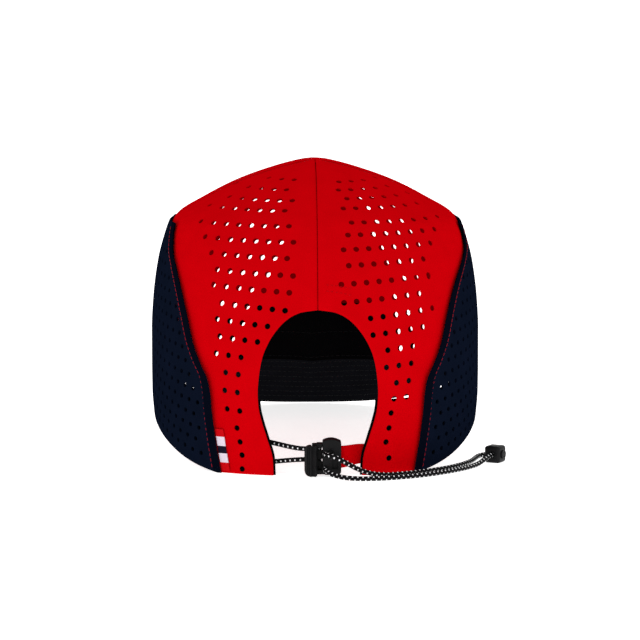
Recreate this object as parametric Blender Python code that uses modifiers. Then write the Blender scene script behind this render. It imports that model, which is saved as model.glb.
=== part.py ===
"""Running cap: a perforated crown of sewn panels, a sloping visor and an elastic cord closure.

Units are metres. +X is the wearer's right, +Y is forward, +Z is up. The cap rests on the flat
rear stretch of its rim and on the front edge of its visor, at z = 0.
"""
import math
from typing import NamedTuple

import bmesh
import bpy
import numpy as np
from mathutils import Matrix, Vector

MM = 0.001

# Crown
CROWN_HALF_WIDTH = 82.7 * MM
CROWN_REAR_DEPTH = 86.0 * MM
CROWN_FRONT_DEPTH = 110.0 * MM
CROWN_HEIGHT = 152.0 * MM
REAR_SQUARENESS = 2.3
FRONT_SQUARENESS = 2.05
CLOTH = 1.2 * MM
SHARP_EDGE = 40.0
SEAM_GAP = 0.6 * MM
LAP_CLEARANCE = 0.45 * MM
SEAM_UNDERLAP = 5.0 * MM

# Rim, level with the floor at the rear and rising to the visor
RIM_FRONT_RISE = 32.0 * MM
RIM_SIDE_RISE = 8.8 * MM
RIM_SIDE_START = 0.4
RIM_FLAT_DEPTH = 70.0 * MM

# Rear opening
ARCH_HEIGHT = 83.2 * MM
ARCH_HALF_WIDTH = 30.0 * MM

# Perforation
HOLE_RADIUS = 1.35 * MM
HOLE_PITCH = 6.3 * MM
HOLE_ROW_PITCH = 9.1 * MM
HOLE_FIRST_COLUMN = 12.2 * MM
HEM_HOLE_PITCH = 6.9 * MM
HEM_HOLES = 4
HEM_HOLE_COLUMN = 39.0 * MM
HEM_HOLE_START = 4.5 * MM
EDGE_MARGIN = 5.2 * MM
PLAIN_MARGIN = 2.8 * MM
PIERCED_LENGTH = 112.0 * MM

# Visor
VISOR_REACH = 60.0 * MM
VISOR_THICKNESS = 2.8 * MM
VISOR_END_ANGLE = 51.0
VISOR_END_REACH = 2.0 * MM
VISOR_SPREAD = 0.85
VISOR_FULLNESS = 0.9
VISOR_EDGE_POWER = 2.2

# Sweatband
BAND_HEIGHT = 38.0 * MM
BAND_FRONT_HEIGHT = 31.0 * MM
BAND_THICKNESS = 1.0 * MM
BAND_OVERHANG = 2.0 * MM
PART_GAP = 0.3 * MM
BAND_CLEARANCE = 0.5 * MM

# Cord and the sleeve that it turns in
CORD_DIAMETER = 2.5 * MM
CORD_TURN_RADIUS = 5.1 * MM
SLEEVE_CLEARANCE = 0.35 * MM
SLEEVE_DEPTH = 9.0 * MM
SLEEVE_HEIGHT = 18.0 * MM
SLEEVE_WALL = 1.0 * MM
SLEEVE_FOOT = 1.6 * MM
STRAIGHT_SHARE = 0.62

# Buckle
BUCKLE_STAND = 2.0 * MM
BUCKLE_DEPTH = 8.0 * MM
BLOCK_LEFT = 2.2 * MM
BLOCK_RIGHT = 11.5 * MM
BLOCK_FOOT = 1.2 * MM
BLOCK_HEIGHT = 18.0 * MM
BLOCK_CORNER = 2.0 * MM
BLOCK_ARCH_RISE = 2.4 * MM
BLOCK_ARCH_START = 0.12
BLOCK_ARCH_SWEEP = 0.70
CHEEK_THICKNESS = 2.0 * MM
CHEEK_DROP = 2.5 * MM
CHEEK_ROOT = 1.0 * MM
HINGE_X = -1.5 * MM
HINGE_INSET = 4.2 * MM
BARREL_RADIUS = 1.55 * MM
PIN_RADIUS = 0.7 * MM
PIN_LENGTH = 1.2 * MM
LEVER_LEFT = -6.8 * MM
LEVER_FOOT = 0.5 * MM
LEVER_HEIGHT = 15.4 * MM
LEVER_DEPTH = 4.8 * MM
THUMB_PAD_RIGHT = -0.4 * MM
THUMB_PAD_THICKNESS = 1.3 * MM
WEB_THICKNESS = 1.8 * MM
RIB_COUNT = 3
RIB_HEIGHT = 0.7 * MM
HELD_CORD_UPPER = 13.6 * MM
HELD_CORD_LOWER = 8.0 * MM
HELD_CORD_INSET = 7.4 * MM
RECESS_DEPTH = 1.2 * MM
RECESS_INSET = 1.6 * MM
RECESS_WIDTH = 3.0 * MM
RECESS_RISE = 3.2 * MM
RECESS_HEIGHT = 4.4 * MM
RING_RADIUS = 1.3 * MM
RING_INSET = 5.4 * MM
RING_RISE = 11.6 * MM
TOOL_MARGIN = 1.0 * MM

# Strap tab
TAB_THICKNESS = 1.3 * MM
TAB_HEIGHT = 11.0 * MM
TAB_SEAT = 1.5 * MM
TAB_END_X = 27.0 * MM
TAB_DROP = 0.4 * MM
TAB_DEPTH_SHARE = 0.55
TAB_LEAD = 2.5 * MM
TAB_TUCK = 1.5 * MM
TAB_CLEARANCE = 0.9 * MM

# Seam tag
TAG_WIDTH = 4.0 * MM
TAG_LENGTH = 21.0 * MM
TAG_THICKNESS = 0.5 * MM
TAG_FOOT = 1.2 * MM
TAG_SEAM_GAP = 1.6 * MM

# Stopper on the cord
BEAD_SIZE = 8.6 * MM
BEAD_CENTRE = (91.0 * MM, -41.0 * MM)
BEAD_TURN = 60.0
BEAD_ROUNDING = 1.5 * MM
BORE_CLEARANCE = 0.35 * MM
BOSS_RADIUS = 2.2 * MM
BOSS_HEIGHT = 0.8 * MM


class Level(NamedTuple):
    """One level of the crown: shares of its height, half-width, rear depth and front depth."""

    height: float
    side: float
    rear: float
    front: float


CROWN_LEVELS = [
    Level(0.000, 0.972, 0.968, 0.968),
    Level(0.030, 0.972, 0.968, 0.968),
    Level(0.125, 0.985, 0.980, 0.980),
    Level(0.212, 0.998, 0.992, 0.992),
    Level(0.303, 1.000, 1.000, 1.000),
    Level(0.422, 1.000, 0.990, 0.995),
    Level(0.526, 0.990, 0.962, 0.975),
    Level(0.645, 0.962, 0.912, 0.940),
    Level(0.723, 0.927, 0.860, 0.895),
    Level(0.795, 0.880, 0.785, 0.830),
    Level(0.814, 0.855, 0.762, 0.805),
    Level(0.861, 0.713, 0.680, 0.725),
    Level(0.918, 0.509, 0.550, 0.590),
    Level(0.959, 0.305, 0.410, 0.440),
    Level(0.987, 0.122, 0.240, 0.260),
    Level(1.000, 0.000, 0.000, 0.000),
]


class SeamPoint(NamedTuple):
    """One point of a panel seam: share of the crown's height and of its half-width there."""

    height: float
    across: float


REAR_SEAM = [
    SeamPoint(0.000, 0.573),
    SeamPoint(0.101, 0.603),
    SeamPoint(0.198, 0.625),
    SeamPoint(0.258, 0.634),
    SeamPoint(0.308, 0.651),
    SeamPoint(0.356, 0.695),
    SeamPoint(0.414, 0.737),
    SeamPoint(0.502, 0.776),
    SeamPoint(0.591, 0.817),
    SeamPoint(0.650, 0.845),
    SeamPoint(0.705, 0.868),
    SeamPoint(0.756, 0.865),
    SeamPoint(0.797, 0.850),
]
FRONT_SEAM = [
    SeamPoint(0.000, 0.780),
    SeamPoint(0.198, 0.800),
    SeamPoint(0.446, 0.835),
    SeamPoint(0.644, 0.862),
    SeamPoint(0.756, 0.868),
    SeamPoint(0.797, 0.856),
]


class ArchPoint(NamedTuple):
    """One point of the rear opening: shares of its height and half-width."""

    height: float
    across: float


ARCH = [
    ArchPoint(0.000, 0.740),
    ArchPoint(0.095, 0.750),
    ArchPoint(0.230, 0.850),
    ArchPoint(0.330, 0.935),
    ArchPoint(0.410, 0.985),
    ArchPoint(0.500, 1.000),
    ArchPoint(0.600, 0.980),
    ArchPoint(0.710, 0.925),
    ArchPoint(0.800, 0.825),
    ArchPoint(0.885, 0.670),
    ArchPoint(0.945, 0.500),
    ArchPoint(0.985, 0.280),
    ArchPoint(1.000, 0.000),
]

# Routes of the free cord in metres: from the buckle to the stopper's far mouth, and back from its near one
INNER_CORD_ROUTE = [
    (0.0035, -0.0883, 0.0120),
    (0.0035, -0.0894, 0.0120),
    (0.0043, -0.0924, 0.0120),
    (0.0065, -0.0946, 0.0117),
    (0.0095, -0.0954, 0.0108),
    (0.0142, -0.0951, 0.0083),
    (0.0200, -0.0937, 0.0051),
    (0.0265, -0.0915, 0.0026),
    (0.0335, -0.0886, 0.0015),
    (0.0425, -0.0845, 0.0013),
    (0.0545, -0.0765, 0.0013),
    (0.0650, -0.0668, 0.0013),
    (0.0730, -0.0560, 0.0013),
    (0.0786, -0.0445, 0.0013),
    (0.0812, -0.0355, 0.0013),
    (0.0835, -0.0288, 0.0014),
    (0.0864, -0.0262, 0.0016),
    (0.0902, -0.0258, 0.0021),
    (0.0936, -0.0277, 0.0029),
    (0.0952, -0.0313, 0.0037),
    (0.0944, -0.0351, 0.0042),
]
OUTER_CORD_ROUTE = [
    (0.0878, -0.0466, 0.0042),
    (0.0855, -0.0505, 0.0034),
    (0.0815, -0.0568, 0.0018),
    (0.0755, -0.0655, 0.0013),
    (0.0680, -0.0745, 0.0013),
    (0.0590, -0.0830, 0.0013),
    (0.0490, -0.0902, 0.0013),
    (0.0385, -0.0955, 0.0013),
    (0.0285, -0.0986, 0.0013),
    (0.0195, -0.0995, 0.0014),
    (0.0120, -0.0985, 0.0019),
    (0.0064, -0.0953, 0.0030),
    (0.0038, -0.0910, 0.0042),
    (0.0035, -0.0883, 0.0045),
]

# Rows of the panels' meshes, as shares of their height
FRONT_ROWS = (0.0, 0.10, 0.21, 0.31, 0.41, 0.51, 0.62, 0.72, 0.80, 0.84, 0.88, 0.92, 0.96, 1.0)
SIDE_ROWS = (0.0, 0.04, 0.14, 0.25, 0.33, 0.40, 0.50, 0.61, 0.72, 0.81, 0.88, 0.94, 0.98, 1.0)
ARCH_TOP_SHARES = (0.3, 0.6, 0.85, 0.97, 1.0)


def metres_along(points):
    """Running length along a row of points."""
    steps = np.linalg.norm(np.diff(np.asarray(points), axis=0), axis=1)
    return np.concatenate([[0.0], np.cumsum(steps)])


def smooth_table(xs, ys):
    """Monotone cubic curve through a short table, as a function of one number."""
    xs, ys = np.asarray(xs, float), np.asarray(ys, float)
    width = np.diff(xs)
    slope = np.diff(ys) / width
    tangent = np.concatenate([[slope[0]], np.zeros(len(slope) - 1), [slope[-1]]])
    for i in range(1, len(slope)):
        if slope[i - 1] * slope[i] > 0:
            tangent[i] = 2.0 / (1.0 / slope[i - 1] + 1.0 / slope[i])

    def value(x):
        x = min(max(float(x), xs[0]), xs[-1])
        i = min(int(np.searchsorted(xs, x, side="right")) - 1, len(slope) - 1)
        t = (x - xs[i]) / width[i]
        return ((1 + 2 * t) * (1 - t) ** 2 * ys[i] + t * (1 - t) ** 2 * width[i] * tangent[i]
                + t * t * (3 - 2 * t) * ys[i + 1] + t * t * (t - 1) * width[i] * tangent[i + 1])

    return value


def column(table, name):
    """One named column of a table, as a smooth function of its heights."""
    return smooth_table([row.height for row in table], [getattr(row, name) for row in table])


SIDE_SHARE = column(CROWN_LEVELS, "side")
REAR_SHARE = column(CROWN_LEVELS, "rear")
FRONT_SHARE = column(CROWN_LEVELS, "front")
REAR_SEAM_SHARE = column(REAR_SEAM, "across")
FRONT_SEAM_SHARE = column(FRONT_SEAM, "across")
ARCH_SHARE = column(ARCH, "across")
SEAM_TOP = REAR_SEAM[-1].height
WIDEST = max(row.height for row in CROWN_LEVELS if row.side == 1.0)

OUTER_LIFT = CLOTH + LAP_CLEARANCE
BAND_LIFT = -(CLOTH + BAND_CLEARANCE)
BAND_INNER_LIFT = BAND_LIFT - BAND_THICKNESS
SLEEVE_CAVITY = CORD_DIAMETER + 2 * SLEEVE_CLEARANCE
VISOR_SLOPE = RIM_FRONT_RISE / VISOR_REACH
BUCKLE_REAR = CROWN_REAR_DEPTH + BUCKLE_STAND
BLOCK_TOP = BLOCK_FOOT + BLOCK_HEIGHT
LOWER_CHEEK_TOP = BLOCK_FOOT + CHEEK_THICKNESS
UPPER_CHEEK_TOP = BLOCK_TOP - CHEEK_DROP
UPPER_CHEEK_FOOT = UPPER_CHEEK_TOP - CHEEK_THICKNESS
TAB_MIDDLE = BLOCK_FOOT + 0.5 * BLOCK_HEIGHT - TAB_DROP


def half_axes(z, rear, lift=0.0):
    """Half-width and depth of the crown's level section at a height."""
    share = z / (CROWN_HEIGHT + lift)
    if rear:
        depth = (CROWN_REAR_DEPTH + lift) * REAR_SHARE(share)
    else:
        depth = (CROWN_FRONT_DEPTH + lift) * FRONT_SHARE(share)
    return (CROWN_HALF_WIDTH + lift) * SIDE_SHARE(share), depth


def level_point(angle, z, lift=0.0):
    """Point of the crown at a plan angle: 0 is the rear, 90 the right side, 180 the front."""
    rear = math.cos(math.radians(angle)) >= 0
    half_width, depth = half_axes(z, rear, lift)
    power = 2.0 / (REAR_SQUARENESS if rear else FRONT_SQUARENESS)
    sine, cosine = math.sin(math.radians(angle)), math.cos(math.radians(angle))
    x = half_width * math.copysign(abs(sine) ** power, sine)
    y = -depth * math.copysign(abs(cosine) ** power, cosine)
    return Vector((x, y, z))


def level_angle(x, z, rear, lift=0.0):
    """Plan angle, between 0 and 90 on either half, at which the level section reaches x."""
    half_width, _ = half_axes(z, rear, lift)
    power = (REAR_SQUARENESS if rear else FRONT_SQUARENESS) / 2.0
    angle = math.degrees(math.asin(min(abs(x) / half_width, 1.0) ** power))
    return angle if rear else 180.0 - angle


def depth_at(x, z, rear, lift=0.0):
    """Y of the crown's surface at a given x and height."""
    half_width, depth = half_axes(z, rear, lift)
    power = REAR_SQUARENESS if rear else FRONT_SQUARENESS
    share = min(abs(x) / max(half_width, 1e-9), 1.0)
    y = depth * (1.0 - share ** power) ** (1.0 / power)
    return -y if rear else y


def rim_height(angle):
    """Height of the rim at a plan angle."""
    y = level_point(angle, 0.0).y
    run = CROWN_FRONT_DEPTH * FRONT_SHARE(0.0) + RIM_FLAT_DEPTH
    share = min(max((y + RIM_FLAT_DEPTH) / run, 0.0), 1.0)
    side = math.sin(0.5 * math.pi * min(1.0, share / RIM_SIDE_START)) * abs(math.sin(math.radians(angle)))
    return RIM_FRONT_RISE * share + RIM_SIDE_RISE * side


def roof_height(x):
    """Height of the crown over the crosswise seam at a given x."""
    shares = np.linspace(1.0, WIDEST, 160)
    sides = [SIDE_SHARE(share) for share in shares]
    return CROWN_HEIGHT * float(np.interp(abs(x) / CROWN_HALF_WIDTH, sides, shares))


ROOF_SAMPLES = np.linspace(0.0, CROWN_HALF_WIDTH, 170)
ROOF_HEIGHTS = np.array([roof_height(x) for x in ROOF_SAMPLES])
ROW_BEND_START = 0.645 * CROWN_HEIGHT


def row_height(x, centre):
    """Height of a cloth row at x: level low down, following the crosswise seam at the top."""
    follow = max(0.0, 1.0 - (CROWN_HEIGHT - centre) / (CROWN_HEIGHT - ROW_BEND_START))
    return centre - follow * (CROWN_HEIGHT - float(np.interp(abs(x), ROOF_SAMPLES, ROOF_HEIGHTS)))


def row_point(x, centre, rear):
    """Point of a cloth row, which is named by its height at the centre seam."""
    z = row_height(x, centre)
    return Vector((x, depth_at(x, z, rear), z))


class ClothRow:
    """One row of a crown panel, measured along the cloth from the centre seam."""

    SAMPLES = 90

    def __init__(self, centre, rear):
        self.centre = centre
        self.rear = rear
        self.xs = np.linspace(0.0, CROWN_HALF_WIDTH * 0.995, self.SAMPLES)
        self.lengths = metres_along([row_point(x, centre, rear) for x in self.xs])

    def point(self, distance, side):
        point = row_point(self.across(distance), self.centre, self.rear)
        return Vector((side * point.x, point.y, point.z))

    def distance(self, x):
        return float(np.interp(x, self.xs, self.lengths))

    def across(self, distance):
        return float(np.interp(distance, self.lengths, self.xs))

    def seam_distance(self):
        """Distance from the centre seam to the edge of the side panel that laps over this row."""
        share = REAR_SEAM_SHARE if self.rear else FRONT_SEAM_SHARE
        for x in np.linspace(0.4, 1.0, 241) * CROWN_HALF_WIDTH:
            height = min(row_height(x, self.centre) / CROWN_HEIGHT, SEAM_TOP)
            if x >= share(height) * (CROWN_HALF_WIDTH + OUTER_LIFT):
                return self.distance(x)
        return float(self.lengths[-1])


class SeamLength:
    """Turns a length of cloth, measured up the rear centre line from the rim, into a height."""

    def __init__(self):
        self.heights = CROWN_HEIGHT * np.sin(np.linspace(0.0, math.pi / 2, 200))
        self.lengths = metres_along([row_point(0.0, z, True) for z in self.heights])

    def height(self, length):
        return float(np.interp(length, self.lengths, self.heights))

    def length(self, height):
        return float(np.interp(height, self.heights, self.lengths))

    @property
    def total(self):
        return float(self.lengths[-1])


def arch_half_width(z):
    """Half-width of the rear opening at a height."""
    if z >= ARCH_HEIGHT:
        return 0.0
    return ARCH_HALF_WIDTH * ARCH_SHARE(z / ARCH_HEIGHT)


def new_material(name, colour, roughness):
    """A plain Principled material."""
    material = bpy.data.materials.new(name)
    material.use_nodes = True
    shader = material.node_tree.nodes["Principled BSDF"]
    shader.inputs["Base Color"].default_value = (*colour, 1.0)
    shader.inputs["Roughness"].default_value = roughness
    return material


def finish_object(name, mesh, material, root, collection):
    """Puts a mesh in the scene as one named sub-part under the cap's root."""
    mesh.shade_smooth()
    mesh.set_sharp_from_angle(angle=math.radians(SHARP_EDGE))
    piece = bpy.data.objects.new(name, mesh)
    piece.data.materials.append(material)
    piece.parent = root
    collection.objects.link(piece)
    return piece


def shell(name, bm, thickness, material, root, collection, outward=-1.0):
    """Makes a sub-part from an open surface that faces outwards; the wall grows inwards by default."""
    face_outwards(bm)
    mesh = bpy.data.meshes.new(name)
    bm.to_mesh(mesh)
    bm.free()
    piece = finish_object(name, mesh, material, root, collection)
    wall = piece.modifiers.new("Cloth wall", "SOLIDIFY")
    wall.thickness = thickness
    wall.offset = outward
    return piece


def face_outwards(bm):
    """Turns an open surface so that its faces point away from the middle of the head."""
    middle = Vector((0.0, 0.0, 0.4 * CROWN_HEIGHT))
    bm.normal_update()
    facing = 0.0
    for face in bm.faces:
        facing += (face.calc_center_median() - middle).dot(face.normal) * face.calc_area()
    if facing < 0:
        bmesh.ops.reverse_faces(bm, faces=bm.faces)


def grid_surface(rows):
    """A surface through equal rows of points."""
    bm = bmesh.new()
    verts = [[bm.verts.new(point) for point in row] for row in rows]
    for low, high in zip(verts, verts[1:]):
        for i in range(len(low) - 1):
            bm.faces.new((low[i], low[i + 1], high[i + 1], high[i]))
    return bm


def zip_rows(bm, low, high):
    """Triangles between two rows of (distance, vertex) pairs."""
    i = j = 0
    while i < len(low) - 1 or j < len(high) - 1:
        step_low = j == len(high) - 1 or (i < len(low) - 1 and low[i + 1][0] <= high[j + 1][0])
        if step_low:
            bm.faces.new((low[i][1], low[i + 1][1], high[j][1]))
            i += 1
        else:
            bm.faces.new((low[i][1], high[j + 1][1], high[j][1]))
            j += 1


def inner_limit(row):
    """Distance from the centre seam at which a rear panel's row starts."""
    return row.distance(max(arch_half_width(row.centre), SEAM_GAP / 2))


def outer_limit(row):
    """Distance from the centre seam at which a rear panel's row ends, under the side panel."""
    return row.seam_distance() + SEAM_UNDERLAP


def lattice(row, start, low, high):
    """Distances of one row's points, a hole pitch apart in x, that lie between two distances."""
    first = math.ceil((row.across(low) - start) / HOLE_PITCH)
    last = math.floor((row.across(high) - start) / HOLE_PITCH)
    return [row.distance(start + HOLE_PITCH * k) for k in range(first, last + 1)]


def rear_rows(seam):
    """Cloth rows of a rear panel: (row, distances of its points, distances of its holes)."""
    lengths = [HEM_HOLE_START + HEM_HOLE_PITCH * k for k in range(HEM_HOLES)]
    while lengths[-1] + 1.5 * HOLE_ROW_PITCH < seam.total:
        lengths.append(lengths[-1] + HOLE_ROW_PITCH)
    rows = []
    for k, length in enumerate([0.0, *lengths, seam.total]):
        row = ClothRow(seam.height(length), True)
        start = HEM_HOLE_COLUMN if k <= HEM_HOLES else HOLE_FIRST_COLUMN + 0.5 * HOLE_PITCH * (k % 2)
        columns = lattice(row, start, inner_limit(row) + PLAIN_MARGIN, outer_limit(row) - PLAIN_MARGIN)
        holes = []
        if 1 <= k <= HEM_HOLES:
            holes = [row.distance(HEM_HOLE_COLUMN)]
        elif k > HEM_HOLES and length < PIERCED_LENGTH:
            holes = lattice(row, start, inner_limit(row) + EDGE_MARGIN, row.seam_distance() - EDGE_MARGIN)
        rows.append((row, columns, holes))
    return rows


def edge_chain(seam, low, high, limit, count):
    """Points of a panel's edge between two rows, as (row, distance) pairs, without its ends."""
    chain = []
    start, end = seam.length(low), seam.length(high)
    apex = seam.length(ARCH_HEIGHT)
    lengths = [start + (end - start) * (k + 1) / (count + 1) for k in range(count)]
    if limit is inner_limit and start < apex < end:
        lengths = [start + (apex - start) * share for share in ARCH_TOP_SHARES]
    for length in lengths:
        row = ClothRow(seam.height(length), True)
        chain.append((row, limit(row)))
    return chain


def rear_panel(side, material, root, collection):
    """Red rear panel with its rows of holes; side is -1 for the left and 1 for the right."""
    seam = SeamLength()
    bm = bmesh.new()

    def corner(row, distance):
        point = row.point(distance, side)
        if row.centre == CROWN_HEIGHT:
            point.y = -SEAM_GAP / 2
        return bm.verts.new(point)

    lines, holes = [], []
    for row, columns, pierced in rear_rows(seam):
        line = [(d, corner(row, d)) for d in [inner_limit(row), *columns, outer_limit(row)]]
        lines.append((row.centre, line))
        holes += [vert for d, vert in line if any(abs(d - hole) < 0.1 * MM for hole in pierced)]
    for (low_z, low), (high_z, high) in zip(lines, lines[1:]):
        inner = [corner(*pair) for pair in edge_chain(seam, low_z, high_z, inner_limit, 1)]
        outer = [corner(*pair) for pair in edge_chain(seam, low_z, high_z, outer_limit, 1)]
        bm.faces.new([low[0][1], low[1][1], high[1][1], high[0][1], *reversed(inner)])
        zip_rows(bm, low[1:-1], high[1:-1])
        bm.faces.new([low[-2][1], low[-1][1], *outer, high[-1][1], high[-2][1]])
    face_outwards(bm)
    pierce(bm, holes)
    name = "rear_panel_left" if side < 0 else "rear_panel_right"
    return shell(name, bm, CLOTH, material, root, collection)


def pierce(bm, verts):
    """Opens a round hole at each of the given inner vertices."""
    result = bmesh.ops.bevel(bm, geom=verts, affect="VERTICES", offset=HOLE_RADIUS, offset_type="OFFSET",
                             segments=1)
    centres = [face for face in result["faces"] if face.is_valid]
    bmesh.ops.delete(bm, geom=centres, context="FACES_ONLY")


def front_panel(material, root, collection):
    """Red front panel, from one front seam to the other and up to the crosswise seam."""
    rows = []
    base = rim_height(180.0)
    for share in FRONT_ROWS:
        row = ClothRow(base + (CROWN_HEIGHT - base) * share, False)
        edge = min(row.seam_distance() + SEAM_UNDERLAP, float(row.lengths[-1]))
        points = []
        for across in np.linspace(-1.0, 1.0, 19):
            point = row.point(abs(across) * edge, math.copysign(1.0, across))
            rim = rim_height(level_angle(point.x, 0.0, False))
            z = point.z + (rim - base) * (1.0 - share) ** 2
            y = depth_at(point.x, z, False) if share < 1.0 else SEAM_GAP / 2
            points.append(Vector((point.x, y, z)))
        rows.append(points)
    return shell("front_panel", grid_surface(rows), CLOTH, material, root, collection)


def side_panel(side, material, root, collection):
    """Navy side panel, lapped over the red ones from seam to seam and up to the shoulder."""
    top = SEAM_TOP * CROWN_HEIGHT
    width = CROWN_HALF_WIDTH + OUTER_LIFT
    rows = []
    for share in SIDE_ROWS:
        z = share * top
        start = level_angle(REAR_SEAM_SHARE(z / CROWN_HEIGHT) * width, z, True, OUTER_LIFT)
        end = level_angle(FRONT_SEAM_SHARE(z / CROWN_HEIGHT) * width, z, False, OUTER_LIFT)
        row = []
        for angle in np.linspace(start, end, 15):
            turned = angle if side > 0 else 360.0 - angle
            height = z + rim_height(turned) * (1.0 - share)
            row.append(level_point(turned, height, OUTER_LIFT))
        rows.append(row)
    name = "side_panel_left" if side < 0 else "side_panel_right"
    return shell(name, grid_surface(rows), CLOTH, material, root, collection)


def sweatband(material, root, collection):
    """Black band round the inside of the rim, from one edge of the rear opening to the other."""
    rows = []
    for share in (0.0, 0.25, 0.5, 0.75, 1.0):
        z = share * BAND_HEIGHT
        edge = arch_half_width(z) - BAND_OVERHANG
        start = level_angle(edge, z, True, BAND_LIFT)
        row = []
        for angle in np.linspace(start, 360.0 - start, 41):
            rim = rim_height(angle)
            narrowing = (BAND_HEIGHT - BAND_FRONT_HEIGHT) * rim / RIM_FRONT_RISE
            row.append(level_point(angle, rim + z - share * narrowing, BAND_LIFT))
        rows.append(row)
    return shell("sweatband", grid_surface(rows), BAND_THICKNESS, material, root, collection)


def visor(material, root, collection):
    """Peak: a crescent that slopes down from the front rim until its edge meets the floor."""
    rows = []
    for out in (0.0, 0.25, 0.5, 0.75, 1.0):
        row = []
        for share in np.linspace(-1.0, 1.0, 25):
            angle = 180.0 - VISOR_END_ANGLE * share
            base = level_point(angle, rim_height(angle), PART_GAP)
            reach = VISOR_REACH * math.cos(math.radians(90.0 * share)) ** VISOR_FULLNESS
            reach = max(reach, VISOR_END_REACH) * out
            heading = math.radians(VISOR_SPREAD * VISOR_END_ANGLE * share)
            drop = base.z * out * (1.0 - abs(share) ** VISOR_EDGE_POWER)
            row.append(base + Vector((math.sin(heading) * reach, math.cos(heading) * reach, -drop)))
        rows.append(row)
    return shell("visor", grid_surface(rows), VISOR_THICKNESS, material, root, collection, outward=1.0)


def band_depth(x, z):
    """Y of the sweatband's inner face at the rear."""
    return depth_at(x, z, True, BAND_INNER_LIFT)


def prism(outline, low, high, axis="Z"):
    """A solid made by extruding a plan outline; axis Y takes (x, z) outlines."""
    bm = bmesh.new()
    if axis == "Z":
        verts = [bm.verts.new((x, y, low)) for x, y in outline]
        travel = Vector((0.0, 0.0, high - low))
    else:
        verts = [bm.verts.new((x, low, z)) for x, z in outline]
        travel = Vector((0.0, high - low, 0.0))
    face = bm.faces.new(verts)
    made = bmesh.ops.extrude_face_region(bm, geom=[face])
    bmesh.ops.translate(bm, vec=travel, verts=[v for v in made["geom"] if isinstance(v, bmesh.types.BMVert)])
    bmesh.ops.recalc_face_normals(bm, faces=bm.faces)
    return bm


def rectangle(left, near, right, far):
    """Corners of an upright rectangle, in order."""
    return [(left, near), (right, near), (right, far), (left, far)]


def to_mesh(name, bm):
    """Hands a bmesh over as a named mesh."""
    mesh = bpy.data.meshes.new(name)
    bm.to_mesh(mesh)
    bm.free()
    return mesh


def rod(radius, low, high, sides=12):
    """A round bar along Z between two heights, centred on the origin in plan."""
    bm = bmesh.new()
    bmesh.ops.create_cone(bm, cap_ends=True, segments=sides, radius1=radius, radius2=radius, depth=high - low)
    bmesh.ops.translate(bm, vec=(0.0, 0.0, 0.5 * (low + high)), verts=bm.verts)
    return bm


def combine(piece, name, bm, operation, cutters):
    """Adds a hidden tool body to a piece, or cuts it away; the tool stands where the piece does."""
    tool = bpy.data.objects.new(name, to_mesh(name, bm))
    tool.parent = piece.parent
    tool.location = piece.location
    tool.rotation_euler = piece.rotation_euler
    tool.hide_render = True
    tool.display_type = "WIRE"
    cutters.objects.link(tool)
    step = piece.modifiers.new(name, "BOOLEAN")
    step.operation = operation
    step.solver = "EXACT"
    step.object = tool


def cord_tunnel(material, root, collection):
    """Folded sleeve inside the opening's left edge; gives its turn, its mouth and its middle's depth."""
    right = -(arch_half_width(SLEEVE_FOOT) - BAND_OVERHANG) - PART_GAP
    left = right - SLEEVE_DEPTH
    outer = band_depth(left, SLEEVE_FOOT) + PART_GAP
    inner = outer + SLEEVE_CAVITY + 2 * SLEEVE_WALL
    outline = [(right, outer), (right, outer + SLEEVE_WALL), (left + SLEEVE_WALL, outer + SLEEVE_WALL),
               (left + SLEEVE_WALL, inner - SLEEVE_WALL), (right, inner - SLEEVE_WALL), (right, inner),
               (left, inner), (left, outer)]
    sleeve = prism(outline, SLEEVE_FOOT, SLEEVE_FOOT + SLEEVE_HEIGHT)
    finish_object("cord_tunnel", to_mesh("cord_tunnel", sleeve), material, root, collection)
    return left + SLEEVE_WALL, right, outer + SLEEVE_WALL + 0.5 * SLEEVE_CAVITY


def smooth_path(route, count):
    """Evenly spaced points on a centripetal curve through a route."""
    points = [Vector(p) for p in route]
    points = [2 * points[0] - points[1], *points, 2 * points[-1] - points[-2]]
    fine = []
    for p0, p1, p2, p3 in zip(points, points[1:], points[2:], points[3:]):
        for t in np.linspace(0.0, 1.0, 24, endpoint=False):
            fine.append(catmull(p0, p1, p2, p3, float(t)))
    fine.append(points[-2])
    lengths = metres_along(fine)
    places = np.linspace(0.0, lengths[-1], count)
    columns = [np.interp(places, lengths, [point[k] for point in fine]) for k in range(3)]
    return [Vector(point) for point in np.transpose(columns).tolist()]


def catmull(p0, p1, p2, p3, t):
    """Centripetal Catmull-Rom point between p1 and p2."""
    k0 = 0.0
    k1 = k0 + math.sqrt((p1 - p0).length)
    k2 = k1 + math.sqrt((p2 - p1).length)
    k3 = k2 + math.sqrt((p3 - p2).length)
    k = k1 + t * (k2 - k1)
    a1 = p0 * ((k1 - k) / (k1 - k0)) + p1 * ((k - k0) / (k1 - k0))
    a2 = p1 * ((k2 - k) / (k2 - k1)) + p2 * ((k - k1) / (k2 - k1))
    a3 = p2 * ((k3 - k) / (k3 - k2)) + p3 * ((k - k2) / (k3 - k2))
    b1 = a1 * ((k2 - k) / (k2 - k0)) + a2 * ((k - k0) / (k2 - k0))
    b2 = a2 * ((k3 - k) / (k3 - k1)) + a3 * ((k - k1) / (k3 - k1))
    return b1 * ((k2 - k) / (k2 - k1)) + b2 * ((k - k1) / (k2 - k1))


def cord(name, points, material, root, collection):
    """A round cord along a line of points."""
    curve = bpy.data.curves.new(name, "CURVE")
    curve.dimensions = "3D"
    curve.bevel_depth = CORD_DIAMETER / 2
    curve.bevel_resolution = 2
    curve.use_fill_caps = True
    spline = curve.splines.new("POLY")
    spline.points.add(len(points) - 1)
    for slot, point in zip(spline.points, points):
        slot.co = (*point, 1.0)
    curve.materials.append(material)
    piece = bpy.data.objects.new(name, curve)
    piece.parent = root
    collection.objects.link(piece)


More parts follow.
